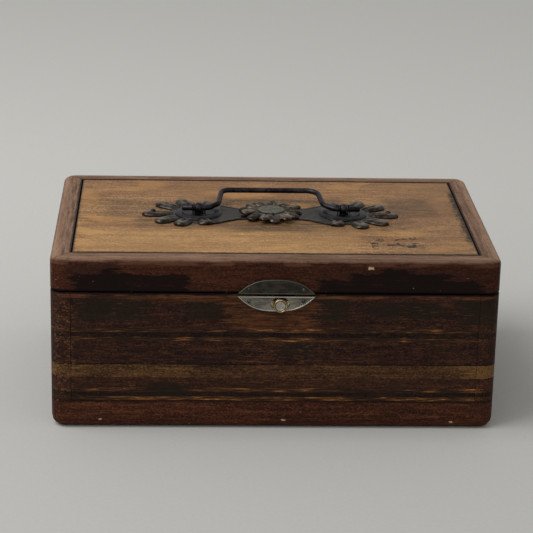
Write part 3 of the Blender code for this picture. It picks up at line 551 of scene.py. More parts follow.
def make_leaf_spring(metal_look):
    """The catch: a leaf screwed to the wall at one end; the real leaf bends back when the button bears on it,
    but here it is one fixed piece.
    """
    low, high = (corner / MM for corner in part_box("catch_spring"))
    left, right, nose, back = low[0], high[0], low[1], high[1]
    leaf = (FRONT / MM + 5.1, FRONT / MM + 5.7)
    foot, nose_side, count = 10.0, -4.9, 28
    outline = [(right, back), (foot, back)]
    outline += [(foot + (left - foot) * i / count, leaf[1]) for i in range(count + 1)]
    outline += [(left, nose + 0.3), (left + 0.3, nose), (nose_side - 0.8, nose), (nose_side, nose + 0.8)]
    outline += [(nose_side + (right - nose_side) * i / count, leaf[0]) for i in range(count + 1)]
    bm = bmesh.new()
    levels = ((low[2], 0.12), (low[2] + 0.12, 0), (high[2] - 0.12, 0), (high[2], 0.12))
    centre = Vector(((left + right) / 2, leaf[0], 0))
    loft(bm, [[(x - math.copysign(ease, x - centre.x), y, z) for x, y in outline] for z, ease in levels])
    spring = piece("leaf_spring", bm, metal_look, None, ["catch_spring"], sharp=30)
    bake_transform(spring)


# The playing board


def lines_between(low, high, step, extra=()):
    count = round((high - low) / step)
    lines = [low + (high - low) * i / count for i in range(count + 1)]
    clear = [v for v in lines if all(abs(v - e) > 0.4 * step for e in extra)]
    return sorted([*clear, *extra])


def make_board(look):
    """The board, with round pits, oval stores and a notch, and a softened edge round each of them."""
    low, high = (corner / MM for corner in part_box("pit_board"))
    top, pitch, row, pit_radius, pit_depth = high[2], 38, 40, 17.5, 14
    store_x, store_half, store_depth = 128.5, (11, 55), 12
    notch = (15, low[1] + 12.4)
    pits = [((c - 2.5) * pitch, y) for c in range(6) for y in (-row, row)]

    def hollow(out, depth):
        """Depth at this fraction of the way out, with a rounded rim."""
        if out < 0.93:
            return depth * (1 - out**2.3)
        return depth * 0.155 * (1 - smooth(out, 0.86, 1.08))

    def height(x, y):
        z = top
        for px, py in pits:
            z = min(z, top - hollow(math.hypot(x - px, y - py) / pit_radius, pit_depth))
        for side in (-1, 1):
            out = math.hypot((x - side * store_x) / store_half[0], y / store_half[1])
            z = min(z, top - hollow(out, store_depth))
        edge = min(high[0] - abs(x), high[1] - abs(y))
        z -= 0.9 * (1 - smooth(edge, 0, 1.3))
        if abs(x) < notch[0] and y < notch[1]:
            z = low[2] + 1
        return z

    step, cut = 1.45, 0.15
    sides = (-notch[0] - cut, -notch[0] + cut, notch[0] - cut, notch[0] + cut)
    xs = lines_between(low[0], high[0], step, sides)
    ys = lines_between(low[1], high[1], step, (notch[1] - cut, notch[1] + cut))
    bm = bmesh.new()
    grid = [[bm.verts.new((x, y, height(x, y))) for x in xs] for y in ys]
    for row_a, row_b in zip(grid, grid[1:]):
        for i in range(len(xs) - 1):
            bm.faces.new((row_a[i], row_a[i + 1], row_b[i + 1], row_b[i]))
    rim = [*grid[0], *(r[-1] for r in grid[1:])]
    rim += [*reversed(grid[-1][:-1]), *(r[0] for r in reversed(grid[1:-1]))]
    foot = [bm.verts.new((v.co.x, v.co.y, low[2])) for v in rim]
    join_rings(bm, rim, foot)
    bm.faces.new(foot)
    piece("carved_board", bm, look, "body", ["pit_board"], sharp=50)


# Materials


class Graph:
    """A material's nodes, written as expressions. Sizes and places in them are in millimetres."""

    def __init__(self, name, metallic=0.0, specular=0.5):
        self.material = bpy.data.materials.new(name)
        self.material.use_nodes = True
        self.tree = self.material.node_tree
        self.shader = self.tree.nodes["Principled BSDF"]
        self.shader.inputs["Metallic"].default_value = metallic
        self.shader.inputs["Specular IOR Level"].default_value = specular
        place = self.add("ShaderNodeTexCoord").outputs["Object"]
        split = self.add("ShaderNodeSeparateXYZ", {0: place})
        self.x, self.y, self.z = (self.times(split.outputs[i], 1 / MM) for i in range(3))

    def add(self, kind, inputs=None, **settings):
        node = self.tree.nodes.new(kind)
        for key, value in settings.items():
            setattr(node, key, value)
        for key, value in (inputs or {}).items():
            self.feed(node.inputs[key], value)
        return node

    def feed(self, socket, value):
        if isinstance(value, bpy.types.NodeSocket):
            self.tree.links.new(value, socket)
        elif isinstance(value, tuple) and socket.type == "RGBA":
            socket.default_value = (*value[:3], 1.0)
        else:
            socket.default_value = value

    def math(self, operation, a, b=0.0, clamp=False):
        node = self.add("ShaderNodeMath", {0: a, 1: b}, operation=operation, use_clamp=clamp)
        return node.outputs[0]

    def times(self, a, b):
        return self.math("MULTIPLY", a, b)

    def plus(self, a, b):
        return self.math("ADD", a, b)

    def either(self, *masks):
        total = masks[0]
        for mask in masks[1:]:
            total = self.math("MAXIMUM", total, mask)
        return total

    def both(self, *masks):
        total = masks[0]
        for mask in masks[1:]:
            total = self.times(total, mask)
        return total

    def rise(self, value, low, high, start=0.0, end=1.0):
        """start below low, end above high, and a smooth step between."""
        inputs = {"Value": value, "From Min": low, "From Max": high, "To Min": start, "To Max": end}
        node = self.add("ShaderNodeMapRange", inputs, interpolation_type="SMOOTHSTEP")
        return node.outputs["Result"]

    def band(self, value, low, high, soft=1.0):
        """1 between low and high, falling to 0 over twice soft at each end."""
        up = self.rise(value, low - soft, low + soft)
        return self.both(up, self.rise(value, high - soft, high + soft, 1, 0))

    def patch(self, u, v, u_range, v_range, soft=(1.0, 1.0)):
        return self.both(self.band(u, *u_range, soft[0]), self.band(v, *v_range, soft[1]))

    def stretch(self, sx, sy, sz, shift=0.0):
        """The place, counted in cells of this size; shift moves to another part of the noise."""
        parts = [self.times(v, 1 / size) for v, size in ((self.x, sx), (self.y, sy), (self.z, sz))]
        if shift:
            parts[2] = self.plus(parts[2], shift)
        return self.add("ShaderNodeCombineXYZ", dict(enumerate(parts))).outputs[0]

    def noise(self, vector, detail=4.0, roughness=0.5, distortion=0.0):
        inputs = {"Vector": vector, "Detail": detail, "Roughness": roughness, "Distortion": distortion}
        node = self.add("ShaderNodeTexNoise", {**inputs, "Scale": 1.0})
        return node.outputs["Fac"]

    def blotches(self, cells, low, high, shift=0.0, **settings):
        """Patches of 1 where a noise with cells of this size is above high, and 0 where it is below low."""
        return self.rise(self.noise(self.stretch(*cells, shift=shift), **settings), low, high)

    def on_front(self):
        """1 on the box's front, and 0 on its other sides."""
        return self.rise(self.times(self.y, -1), 97, 101)

    def wobble(self, value, *swings):
        """value pushed about by noises; each swing is (millimetres, cell sizes, shift)."""
        for amount, cells, shift in swings:
            swing = self.plus(self.noise(self.stretch(*cells, shift=shift), 3), -0.5)
            value = self.plus(value, self.times(swing, 3 * amount))
        return value

    def mix(self, factor, a, b):
        node = self.add("ShaderNodeMix", data_type="RGBA", clamp_factor=True)
        self.feed(node.inputs[0], factor)
        self.feed(node.inputs[6], a)
        self.feed(node.inputs[7], b)
        return node.outputs[2]

    def colour(self, value):
        self.feed(self.shader.inputs["Base Color"], value)

    def set(self, name, value):
        self.feed(self.shader.inputs[name], value)

    def bump(self, height, depth):
        """height 0 to 1 becomes relief this many millimetres deep."""
        node = self.add("ShaderNodeBump", {"Height": height, "Distance": depth * MM})
        self.set("Normal", node.outputs["Normal"])


FRONT_LIGHT = 0.55  # how bright a white upright face and a white top look in this light
TOP_LIGHT = 0.98


def seen(red, green, blue, light=FRONT_LIGHT):
    """The reflectance that looks like this screen colour, 0 to 255, in that light."""
    channels = (channel / 255 for channel in (red, green, blue))
    linear = (c / 12.92 if c < 0.04045 else ((c + 0.055) / 1.055) ** 2.4 for c in channels)
    return tuple(min(0.9, value / light) for value in linear)


def seen_on_top(*colour):
    return seen(*colour, light=TOP_LIGHT)


def along_cells(along, length, width):
    return {"x": (length, width, width), "y": (width, length, width), "z": (width, width, length)}[along]


class Grain:
    """Wood grain along one axis: broad figure, streaks, fibres, and fine dark pores."""

    def __init__(self, g, along, shift=0.0):
        self.g = g

        def layer(length, width, offset, **settings):
            cells = along_cells(along, length, width)
            return g.noise(g.stretch(*cells, shift=shift + offset), **settings)

        self.figure = layer(120, 8, 0, detail=8, roughness=0.65, distortion=0.8)
        self.streak = layer(30, 1.8, 5, detail=7, roughness=0.7)
        self.fibre = layer(8, 0.9, 11, detail=6, roughness=0.75)
        self.pores = g.rise(layer(5, 0.7, 17, detail=4, roughness=0.7), 0.57, 0.63)
        self.speckle = g.noise(g.stretch(1.5, 1.5, 1.1, shift=shift + 23), detail=4, roughness=0.75)

    def paint(self, dark, middle_tone, light, pore=0.6):
        g = self.g
        base = g.mix(g.rise(self.figure, 0.36, 0.60), dark, middle_tone)
        base = g.mix(g.rise(self.streak, 0.50, 0.66), base, light)
        base = g.mix(g.times(g.rise(self.streak, 0.48, 0.34), 0.8), base, dark)
        base = g.mix(g.times(g.rise(self.fibre, 0.50, 0.38), 0.65), base, tuple(0.5 * c for c in dark))
        base = g.mix(g.times(g.rise(self.speckle, 0.53, 0.63), 0.6), base, tuple(1.4 * c for c in light))
        base = g.mix(g.times(g.rise(self.speckle, 0.47, 0.37), 0.65), base, tuple(0.35 * c for c in dark))
        return g.mix(g.times(self.pores, pore), base, tuple(0.25 * c for c in dark))

    def relief(self, depth=0.14, extra=None):
        g = self.g
        dents = g.noise(g.stretch(16, 16, 13, shift=7), detail=4, roughness=0.6)
        height = g.plus(g.times(self.fibre, 0.5), g.times(dents, 0.9))
        height = g.plus(height, g.times(self.pores, -0.45))
        height = g.plus(height, g.times(self.streak, 0.4))
        if extra is not None:
            height = g.plus(height, extra)
        g.bump(height, depth)


def panel_wood():
    """The lid's panel: yellow-brown and worn, with dirt and a painted shadow round the handle and black in
    the joints.
    """
    g = Graph("panel_wood", specular=0.2)
    grain = Grain(g, "x")
    tones = (seen_on_top(122, 86, 55), seen_on_top(160, 120, 80), seen_on_top(180, 142, 98))
    base = grain.paint(*tones, pore=0.9)
    mottle = g.blotches((14, 7, 14), 0.52, 0.64, shift=37, detail=7, roughness=0.7)
    base = g.mix(g.times(mottle, 0.35), base, seen_on_top(116, 82, 54))
    # cooler, greyer clouds and warm ones, lighter and yellower towards the front left, and greyer and darker
    # towards the back and right
    cloud = g.blotches((58, 36, 40), 0.44, 0.62, shift=2, detail=5, roughness=0.6)
    base = g.mix(g.times(cloud, 0.45), base, seen_on_top(120, 84, 54))
    warm = g.blotches((40, 22, 40), 0.54, 0.68, shift=9, detail=4)
    base = g.mix(g.times(warm, 0.55), base, seen_on_top(186, 138, 80))
    sunny = g.patch(g.wobble(g.x, (12, (20, 14, 20), 41)), g.y, (-140, 60), (-92, -34), (14, 10))
    base = g.mix(g.times(sunny, 0.28), base, seen_on_top(194, 152, 96))
    back = g.rise(g.wobble(g.y, (10, (30, 14, 30), 3)), 20, 75)
    base = g.mix(g.times(back, 0.35), base, seen_on_top(124, 88, 60))
    right = g.rise(g.wobble(g.x, (14, (20, 12, 20), 6)), 70, 128)
    base = g.mix(g.times(right, 0.4), base, seen_on_top(118, 88, 62))
    # dark dirt that polishing has left round the metal, and a painted shadow of the bail's grip on the panel
    # behind the rosette
    x = g.wobble(g.x, (7, (16, 12, 16), 1), (3, (5, 3, 5), 2))
    y = g.wobble(g.y, (4, (14, 9, 14), 4), (1.6, (6, 2, 6), 5))
    smear = g.blotches((26, 2.6, 9), 0.30, 0.62, shift=5, detail=5, roughness=0.65)
    grime_and_shadow = g.either(
        g.times(g.patch(x, y, (-102, 106), (-34, 30), (8, 7)), 0.50),
        g.times(g.patch(x, y, (-30, 34), (-40, -18), (8, 4)), 0.75),
        g.times(g.patch(x, y, (-126, -98), (-14, 38), (8, 9)), 0.42),
        g.times(g.patch(x, y, (84, 124), (0, 44), (7, 7)), 0.62),
        # painted shadow of the bail's grip, cast to the right onto the panel, with some dirt under it
        g.times(g.patch(x, y, (-44, 62), (28, 42), (14, 5)), 0.55),
        g.times(g.patch(x, y, (20, 58), (-46, -26), (8, 5)), 0.40),
    )
    outside = g.rise(g.z, PANEL_Z - 3, PANEL_Z - 1)
    base = g.mix(g.both(grime_and_shadow, outside, g.plus(g.times(smear, 0.75), 0.25)), base, seen_on_top(54, 46, 38))
    # the joints, black with wax and dirt, and a ragged smear beside the right one
    field_x, field_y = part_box("lid_panel")[1][0] / MM - 4.8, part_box("lid_panel")[1][1] / MM - 4.8
    rag = g.noise(g.stretch(3.2, 5, 4), detail=5, roughness=0.7)
    out_x = g.plus(g.x, g.times(g.plus(rag, -0.5), 16))
    middle_part = g.band(g.wobble(g.y, (5, (8, 8, 8), 8)), -66, 64, 9)
    smear_right = g.both(g.rise(out_x, field_x - 7, field_x - 1), middle_part)
    spread = g.times(g.plus(rag, -0.5), 5)
    dirt = []
    ways = ((g.x, 1, field_x), (g.x, -1, field_x), (g.y, 1, field_y), (g.y, -1, field_y))
    for axis, sign, edge in ways:
        value = g.times(axis, sign)
        dirt.append(g.times(g.rise(g.plus(value, spread), edge - 2.2, edge), 0.75))
        dirt.append(g.rise(value, edge - 0.9, edge - 0.5))
    base = g.mix(g.either(g.times(smear_right, 0.9), *dirt), base, seen_on_top(24, 19, 17))
    # ink spots near the right end of the handle, and scattered flecks
    spots = g.blotches((6, 6, 6), 0.53, 0.565, shift=2, detail=5, roughness=0.75)
    area = g.patch(g.wobble(g.x, (3, (5, 5, 5), 12)), g.y, (68, 106), (-76, -50), (3, 3))
    flecks = g.blotches((2.2, 1.5, 2), 0.69, 0.72, shift=11, detail=3, roughness=0.7)
    ink = g.both(outside, g.either(g.both(spots, area), g.times(flecks, 0.65)))
    base = g.mix(ink, base, seen_on_top(40, 34, 32))
    g.colour(base)
    g.set("Roughness", g.plus(g.times(grain.fibre, 0.25), 0.45))
    grain.relief(0.12)
    return g.material


def frame_wood(along):
    """Rails of the lid and base: red-brown, worn grey with a painted sheen along the top, with remains of
    black lacquer.
    """
    g = Graph("frame_wood_" + along, specular=0.05)
    grain = Grain(g, along, shift=20)
    base = grain.paint(seen(40, 21, 14), seen(56, 30, 20), seen(74, 43, 28), pore=0.5)
    # worn and grey with dust on top, with a painted sheen over the top too, and warmer along the edges that
    # hands have worn, with a painted highlight there
    top = g.rise(g.wobble(g.z, (0.7, (10, 10, 5), 2)), 126.2, 128.5)
    dust_and_sheen = g.mix(g.rise(grain.streak, 0.35, 0.62), seen_on_top(88, 64, 50), seen_on_top(134, 106, 87))
    away = {"x": g.math("ABSOLUTE", g.y), "y": g.math("ABSOLUTE", g.x)}[along]
    outer = {"x": -FRONT / MM, "y": HALF_W / MM}[along]
    # lighter near the top's outer edge: wear, and a painted highlight where the edge rounds over
    wear_and_highlight = g.rise(g.wobble(away, (1.2, (12, 12, 12), 57)), outer - 8, outer - 3.5)
    dust_and_sheen = g.mix(g.times(wear_and_highlight, 0.55), dust_and_sheen, seen_on_top(164, 130, 106))
    dust_and_sheen = g.mix(g.times(g.rise(grain.figure, 0.45, 0.65), 0.6), dust_and_sheen, seen_on_top(100, 72, 56))
    dust_and_sheen = g.mix(g.times(grain.pores, 0.6), dust_and_sheen, seen_on_top(46, 32, 26))
    base = g.mix(top, base, dust_and_sheen)
    # painted highlight, in patches, on the rounding along the outer edge of the lid's rails
    edge_highlight_band = g.band(g.wobble(g.z, (0.5, (14, 14, 4), 31)), 124.4, 126.6, 0.8)
    edge_highlight_blotches = g.blotches((22, 22, 9), 0.44, 0.58, shift=3, detail=4)
    base = g.mix(g.both(edge_highlight_band, edge_highlight_blotches, g.rise(g.z, 110, 112), 0.6), base, seen(92, 60, 44))
    front = g.on_front()
    # black lacquer left on the lid's front, ragged along the grain
    ragged = ((10, (26, 26, 1.6), 1), (4, (6, 6, 1.2), 2))
    x = g.wobble(g.x, *ragged)
    z = g.wobble(g.z, (2.2, (12, 12, 6), 6), (1.2, (3, 3, 2), 7))
    lid = g.rise(g.z, 103, 104)
    base = g.mix(g.both(front, lid, g.rise(g.x, -140, 150, 0.3, 0.5)), base, seen(26, 10, 6))
    lacquer = g.either(
        g.patch(x, z, (-143, -64), (100, 117.6), (1.5, 0.5)),
        g.patch(x, z, (-122, -112), (100, 122), (2, 0.6)),
        g.patch(x, z, (52, 122), (100, 119.6), (1.5, 0.5)),
        g.patch(x, z, (31, 144), (100, 114.4), (1.5, 0.5)),
        g.patch(x, z, (76, 97), (100, 122.6), (2, 0.6)),
    )
    halo = g.times(g.patch(x, z, (-146, -112), (100, 126), (3, 1)), 0.55)
    wide_halo = g.times(g.patch(x, z, (28, 150), (100, 121), (4, 2)), 0.35)
    base = g.mix(g.both(front, lid, g.either(halo, wide_halo)), base, seen(33, 19, 17))
    thin = g.blotches((18, 18, 2.0), 0.30, 0.46, shift=15, detail=5, roughness=0.65)
    base = g.mix(g.both(front, lid, lacquer, g.plus(g.times(thin, 0.45), 0.5)), base, seen(15, 9, 8))
    streaks = g.both(g.rise(grain.streak, 0.56, 0.66), g.rise(g.z, 103, 104), g.rise(g.z, 124, 122))
    base = g.mix(g.times(streaks, 0.35), base, seen(30, 17, 13))
    # painted shade on the lid's lowest edge, along the seam
    seam_shade = g.both(lid, g.rise(g.wobble(g.z, (0.4, (8, 8, 4), 51)), 106.6, 105.3))
    base = g.mix(g.times(seam_shade, 0.92), base, seen(10, 7, 6))
    # dark clouds and bruises on the base
    foot = g.rise(g.z, 40, 30)
    cloud = g.blotches((30, 30, 7), 0.50, 0.64, shift=13, detail=5, roughness=0.6)
    base = g.mix(g.both(cloud, foot, 0.45), base, seen(30, 18, 13))
    edge = g.both(foot, g.rise(g.z, 19.6, 21))
    base = g.mix(g.times(edge, 0.7), base, seen(18, 11, 9))
    chips = g.blotches((2.6, 2.6, 1.8), 0.735, 0.75, shift=71, detail=2)
    base = g.mix(g.both(chips, g.rise(g.z, 125, 121)), base, seen(130, 105, 82))
    chip_x, chip_z = g.wobble(g.x, (0.9, (1.6, 1.6, 1.6), 72)), g.wobble(g.z, (0.8, (1.6, 1.6, 1.6), 73))
    knocks = ((66.5, 123.4, 1.9, 1.0), (-125, 7, 1.0, 0.7), (7, 6.8, 1.7, 0.6), (129, 5.5, 1.0, 0.7))
    marks = []
    for u, v, half_w, half_h in knocks:
        span_x, span_z = (u - half_w, u + half_w), (v - half_h, v + half_h)
        marks.append(g.patch(chip_x, chip_z, span_x, span_z, (0.4, 0.3)))
    knocked = g.either(*marks)
    base = g.mix(g.both(front, knocked, 0.9), base, seen(152, 126, 104))
    # the joint round the panel is dark with dirt on this side too
    inner = (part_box("lid_panel")[1][0] / MM - 4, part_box("lid_panel")[1][1] / MM - 4)
    across = {"x": (g.y, inner[1]), "y": (g.x, inner[0])}[along]
    away = g.plus(g.math("ABSOLUTE", across[0]), g.times(g.plus(g.noise(g.stretch(4, 4, 4), 4), -0.5), 1.6))
    joint = g.both(g.rise(away, across[1] + 1.9, across[1] + 0.6), g.rise(g.z, 110, 111))
    base = g.mix(g.times(joint, 0.85), base, seen_on_top(30, 22, 19))
    g.colour(base)
    g.set("Roughness", g.plus(g.times(grain.fibre, 0.25), 0.36))
    grain.relief(0.14)
    return g.material


def wall_wood(along):
    """The body's boards: dark layers with light glued lines, worn through the varnish in places."""
    g = Graph("wall_wood_" + along, specular=0.05)
    grain = Grain(g, along, shift=40)
    z = g.wobble(g.z, (0.25, (34, 34, 6), 3), (0.2, (6, 6, 1.5), 4))
    purple = grain.paint(seen(28, 17, 15), seen(41, 24, 19), seen(58, 34, 23), pore=0.5)
    olive = grain.paint(seen(50, 32, 20), seen(72, 50, 30), seen(88, 63, 37), pore=0.5)
    brown = grain.paint(seen(34, 20, 15), seen(46, 28, 20), seen(60, 37, 25), pore=0.5)
    black = grain.paint(seen(18, 12, 11), seen(28, 18, 15), seen(42, 26, 19), pore=0.4)
    broken = g.noise(g.stretch(*along_cells(along, 17, 0.8), shift=31), detail=6, roughness=0.72)
    light = g.mix(g.rise(broken, 0.46, 0.58), seen(38, 24, 18), seen(92, 59, 31))
    light = g.mix(g.rise(broken, 0.57, 0.64), light, seen(164, 112, 54))
    dull = g.mix(g.rise(broken, 0.50, 0.64), seen(30, 20, 16), seen(64, 42, 26))
    x = g.wobble(g.x, (10, (18, 18, 1.2), 8), (3, (6, 6, 3), 9))
    worn = g.blotches(along_cells(along, 30, 1.6), 0.48, 0.58, shift=33, detail=5, roughness=0.6)
    bright_1 = g.either(g.band(x, -20, 36, 4), g.band(x, 108, 120, 3), g.times(worn, 0.6))
    bright_2 = g.either(g.band(x, -4, 26, 5), g.band(x, -72, -58, 3), g.band(x, 90, 98, 3))
    bright_2 = g.either(bright_2, g.times(worn, 0.5))
    bright_3 = g.either(g.band(x, -46, 24, 6), g.band(x, 128, 148, 5), g.times(worn, 0.6))
    bright_4 = g.either(g.band(x, -118, 56, 9), g.band(x, 84, 152, 5), g.times(worn, 0.4))
    dim = g.either(g.band(x, -55, 44, 10), g.times(g.band(x, 40, 128, 12), 0.75))
    far_right = g.rise(x, 134, 140)
    wide = g.mix(g.times(dim, 0.7), olive, brown)
    rubbed_end = g.mix(g.rise(broken, 0.44, 0.58), seen(58, 40, 25), seen(106, 78, 44))
    wide = g.mix(g.times(far_right, 0.7), wide, rubbed_end)
    layers = (
        (74.3, 77.2, g.mix(bright_1, dull, light)),
        (70.6, 74.3, black),
        (67.6, 70.6, g.mix(bright_2, dull, light)),
        (49.4, 50.5, black),
        (39.7, 49.4, wide),
        (31.8, 39.7, brown),
        (28.5, 31.8, g.mix(bright_3, dull, light)),
        (25.0, 28.5, black),
        (20.0, 25.0, g.mix(bright_4, dull, light)),
    )
    base = purple
    for low, high, colour in layers:
        base = g.mix(g.band(z, low, high, 0.25), base, colour)
    front = g.on_front()
    # bare brown wood under the latch, streaked into the dark on its left
    streaky = ((13, (30, 30, 1.3), 17), (4, (5, 5, 1.2), 18))
    xs = g.wobble(g.x, *streaky)
    zs = g.wobble(g.z, (1.4, (12, 12, 4), 19), (0.5, (3, 3, 1.5), 20))
    bare = g.either(
        g.patch(xs, zs, (-34, 27), (77.3, 106), (2.0, 0.5)),
        g.times(g.patch(xs, zs, (-112, -30), (97.5, 101.5), (4, 0.8)), 0.8),
        g.times(g.patch(xs, zs, (27, 60), (100.5, 103), (4, 0.6)), 0.7),
    )
    wood = g.mix(g.rise(grain.streak, 0.38, 0.58), seen(38, 21, 13), seen(68, 41, 24))
    wood = g.mix(g.rise(grain.fibre, 0.53, 0.62), wood, seen(86, 52, 28))
    wood = g.mix(g.times(grain.pores, 0.7), wood, seen(20, 12, 9))
    base = g.mix(g.both(front, bare, 0.88), base, wood)
    # greenish black remains of lacquer on the upper layer
    green = g.either(
        g.times(g.blotches((16, 16, 6), 0.55, 0.62, shift=81, detail=6, roughness=0.7), 0.5),
        g.patch(xs, zs, (32, 51), (84, 100.3), (1.5, 0.6)),
        g.patch(xs, zs, (66, 118), (86, 98), (5, 1.5)),
        g.patch(xs, zs, (128, 156), (80, 100), (3, 1.5)),
        g.patch(xs, zs, (-60, -38), (85, 97), (3, 1)),
        g.patch(xs, zs, (-140, -92), (83, 99), (5, 1.5)),
        g.patch(xs, zs, (2, 30), (57, 66), (5, 1.2)),
        g.patch(xs, zs, (-90, -62), (25, 36), (6, 1.2)),
    )
    base = g.mix(g.both(front, green, 0.8), base, seen(24, 20, 15))
    # a lighter band along the seam, partly worn wood and partly a painted highlight on the edge, and painted
    # shade on the body's top edge at the seam
    rub_and_highlight = g.blotches((26, 26, 3), 0.46, 0.58, shift=21, detail=5, roughness=0.6)
    wear_and_highlight = g.both(g.band(g.wobble(g.z, (0.8, (9, 9, 3), 22)), 100.2, 103, 0.4), rub_and_highlight)
    base = g.mix(g.times(wear_and_highlight, 0.6), base, seen(82, 50, 32))
    # painted shade on the body's top edge, at the seam
    base = g.mix(g.times(g.rise(g.z, 102.3, 102.9), 0.92), base, seen(10, 7, 6))
    # scuffs at the left corner, fine scratches, and scattered grime
    cloud = g.blotches((44, 44, 12), 0.50, 0.62, shift=34, detail=6, roughness=0.62)
    base = g.mix(g.times(cloud, 0.42), base, seen(26, 17, 14))
    scratch = g.blotches(along_cells(along, 12, 0.45), 0.63, 0.68, shift=50, detail=3)
    crowd = g.blotches((30, 30, 14), 0.50, 0.60, shift=44, detail=3)
    centre = g.patch(g.x, g.z, (-30, 46), (32, 70), (14, 8))
    base = g.mix(g.both(scratch, g.either(crowd, centre), 0.6), base, seen(106, 68, 38))
    nick = g.blotches((3.2, 3.2, 1.5), 0.54, 0.62, shift=61, detail=6, roughness=0.75)
    corner = g.both(front, g.patch(g.x, g.z, (-158, -143), (28, 98), (3, 6)))
    base = g.mix(g.both(nick, g.either(g.times(centre, 0.35), corner), 0.5), base, seen(112, 80, 54))
    g.colour(base)
    g.set("Roughness", g.plus(g.times(grain.fibre, 0.25), 0.38))
    joints = (25, 28.5, 31.8, 39.7, 49.4, 67.6, 70.6, 74.3, 77.2)
    lines = g.either(*(g.band(z, joint - 0.1, joint + 0.1, 0.2) for joint in joints))
    grain.relief(0.16, extra=g.times(lines, -0.8))
    return g.material


def plain_wood(name, dark, light, roughness):
    g = Graph(name, specular=0.3)
    grain = Grain(g, "x", shift=60)
    middle_tone = tuple((a + b) / 2 for a, b in zip(dark, light))
    base = grain.paint(dark, middle_tone, light, pore=0.5)
    stain = g.blotches((50, 50, 50), 0.48, 0.66, shift=5, detail=5)
    base = g.mix(g.times(stain, 0.4), base, tuple(0.6 * c for c in dark))
    g.colour(base)
    g.set("Roughness", g.plus(g.times(grain.fibre, 0.2), roughness - 0.1))
    grain.relief(0.08)
    return g.material


def metal(name, dark, light, roughness, size=5.0, worn=None):
    """Old metal: tones in clouds and fine pits; worn is (colour, low z, high z) of raised parts worn bright,
    with a painted highlight there.
    """
    g = Graph(name, metallic=1.0)
    cloud = g.noise(g.stretch(size, size, size), detail=6, roughness=0.65)
    fine = g.noise(g.stretch(0.8, 0.8, 0.8), detail=4, roughness=0.6)
    base = g.mix(g.rise(cloud, 0.40, 0.62), dark, light)
    base = g.mix(g.times(g.rise(fine, 0.52, 0.66), 0.6), base, tuple(0.35 * c for c in dark))
    if worn is not None:
        # raised parts lighter: worn metal, and a painted highlight on them
        colour, low, high = worn
        wear_and_highlight = g.rise(g.wobble(g.z, (0.5, (3, 3, 3), 3)), low, high)
        base = g.mix(g.times(wear_and_highlight, g.rise(cloud, 0.30, 0.55)), base, colour)
    g.colour(base)
    g.set("Roughness", g.plus(g.times(cloud, 0.35), roughness - 0.17))
    g.bump(g.plus(g.times(fine, 0.7), cloud), 0.06)
    return g.material


def brushed(name, dark, light, roughness):
    """Plate metal with fine scratches along the box, tarnish in clouds, and dark dirt in the pits."""
    g = Graph(name, metallic=1.0)
    brush = g.noise(g.stretch(9, 9, 0.28), detail=4, roughness=0.6)
    cloud = g.noise(g.stretch(9, 9, 5, shift=4), detail=6, roughness=0.65)
    base = g.mix(g.rise(cloud, 0.38, 0.62), dark, light)
    base = g.mix(g.times(g.rise(brush, 0.45, 0.62), 0.45), base, tuple(min(1, 1.35 * c) for c in light))
    pits = g.blotches((1.3, 1.3, 1.0), 0.60, 0.68, shift=9, detail=4, roughness=0.7)
    base = g.mix(g.times(pits, 0.7), base, tuple(0.3 * c for c in dark))
    # painted highlight on the forward crest of the plates' raised rim
    rim = g.rise(g.y, PLATE_FRONT - 0.2, PLATE_FRONT + 0.05, 1, 0)
    base = g.mix(g.times(rim, 0.8), base, tuple(2.4 * c for c in light))
    g.colour(base)
    g.set("Roughness", g.plus(g.times(cloud, 0.3), roughness - 0.15))
    g.bump(g.plus(g.times(brush, 0.5), g.times(pits, -0.5)), 0.04)
    return g.material


def assign(material, *names):
    for name in names:
        slots = NODES[name].data.materials
        slots.clear()
        slots.append(material)


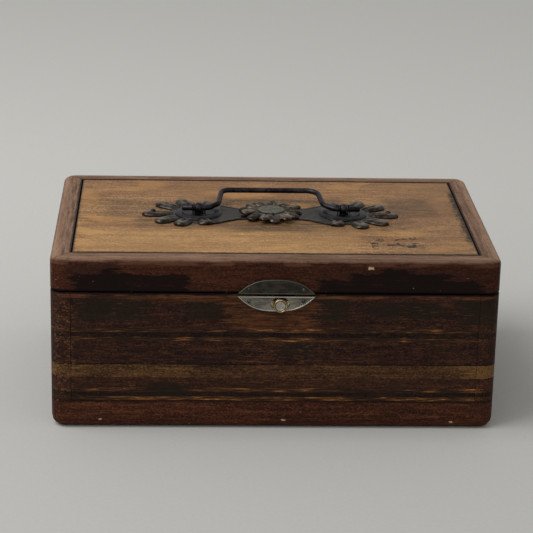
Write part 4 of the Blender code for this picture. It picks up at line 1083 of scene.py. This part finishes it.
def dress_wood():
    rails = {"x": ("front", "back"), "y": ("left", "right")}
    for along, sides in rails.items():
        assign(frame_wood(along), *(f"{part}_rail_{side}" for part in ("lid", "base") for side in sides))
        assign(wall_wood(along), *(f"{side}_wall" for side in sides))
    assign(panel_wood(), "lid_panel")
    bare = plain_wood("inside_wood", (0.2, 0.115, 0.06), (0.33, 0.21, 0.12), 0.65)
    assign(bare, "bottom_panel", "left_cleat", "right_cleat")
    make_board(plain_wood("board_wood", (0.13, 0.055, 0.024), (0.24, 0.12, 0.055), 0.45))


def dress_handle():
    iron = metal("dark_iron", (0.016, 0.013, 0.016), (0.046, 0.040, 0.046), 0.40)
    # tops of the leaf plate's arched petals: worn brass, with a painted highlight
    wear_and_highlight = ((0.30, 0.24, 0.18), PANEL_Z + 2.2, PANEL_Z + 3.6)
    patina = metal("dark_brass", (0.024, 0.020, 0.018), (0.075, 0.064, 0.054), 0.34, worn=wear_and_highlight)
    # the rosette's raised petal tops: worn brass, with a painted highlight
    tips = ((0.40, 0.31, 0.23), PANEL_Z + 4.2, PANEL_Z + 6.0)
    flower = metal("rosette_brass", (0.026, 0.020, 0.015), (0.095, 0.074, 0.056), 0.30, worn=tips)
    boss = metal("boss_metal", (0.13, 0.13, 0.10), (0.26, 0.25, 0.20), 0.5, 2.0)
    make_leaf_plate(patina)
    make_rosette(flower)
    make_boss(boss)
    make_dishes(iron)
    make_eyes(iron)
    make_bail(iron)
    make_plate_nails(iron)
    assign(iron, "handle_nut_left", "handle_nut_right")


def dress_latch():
    brass = metal("brass", (0.35, 0.25, 0.12), (0.62, 0.50, 0.30), 0.34)
    steel = metal("steel", (0.05, 0.045, 0.04), (0.14, 0.13, 0.12), 0.42)
    nickel = brushed("nickel", (0.10, 0.093, 0.078), (0.25, 0.235, 0.20), 0.38)
    tarnished = brushed("dark_nickel", (0.024, 0.021, 0.016), (0.055, 0.051, 0.040), 0.40)
    face = metal("face_nickel", (0.40, 0.38, 0.32), (0.62, 0.60, 0.52), 0.36)
    make_latch_plates(tarnished, nickel)
    make_latch_nails(steel)
    make_button(brass, face)
    make_leaf_spring(steel)
    leaves = [n for n in NODES if n.startswith("hinge_") and not n.endswith("pin")]
    inner = [n for n in NODES if n.startswith(("catch_", "latch_tongue"))]
    assign(brass, *leaves)
    assign(steel, *inner, "hinge_left_pin", "hinge_right_pin")


make_camera()
make_room()
dress_wood()
dress_handle()
dress_latch()
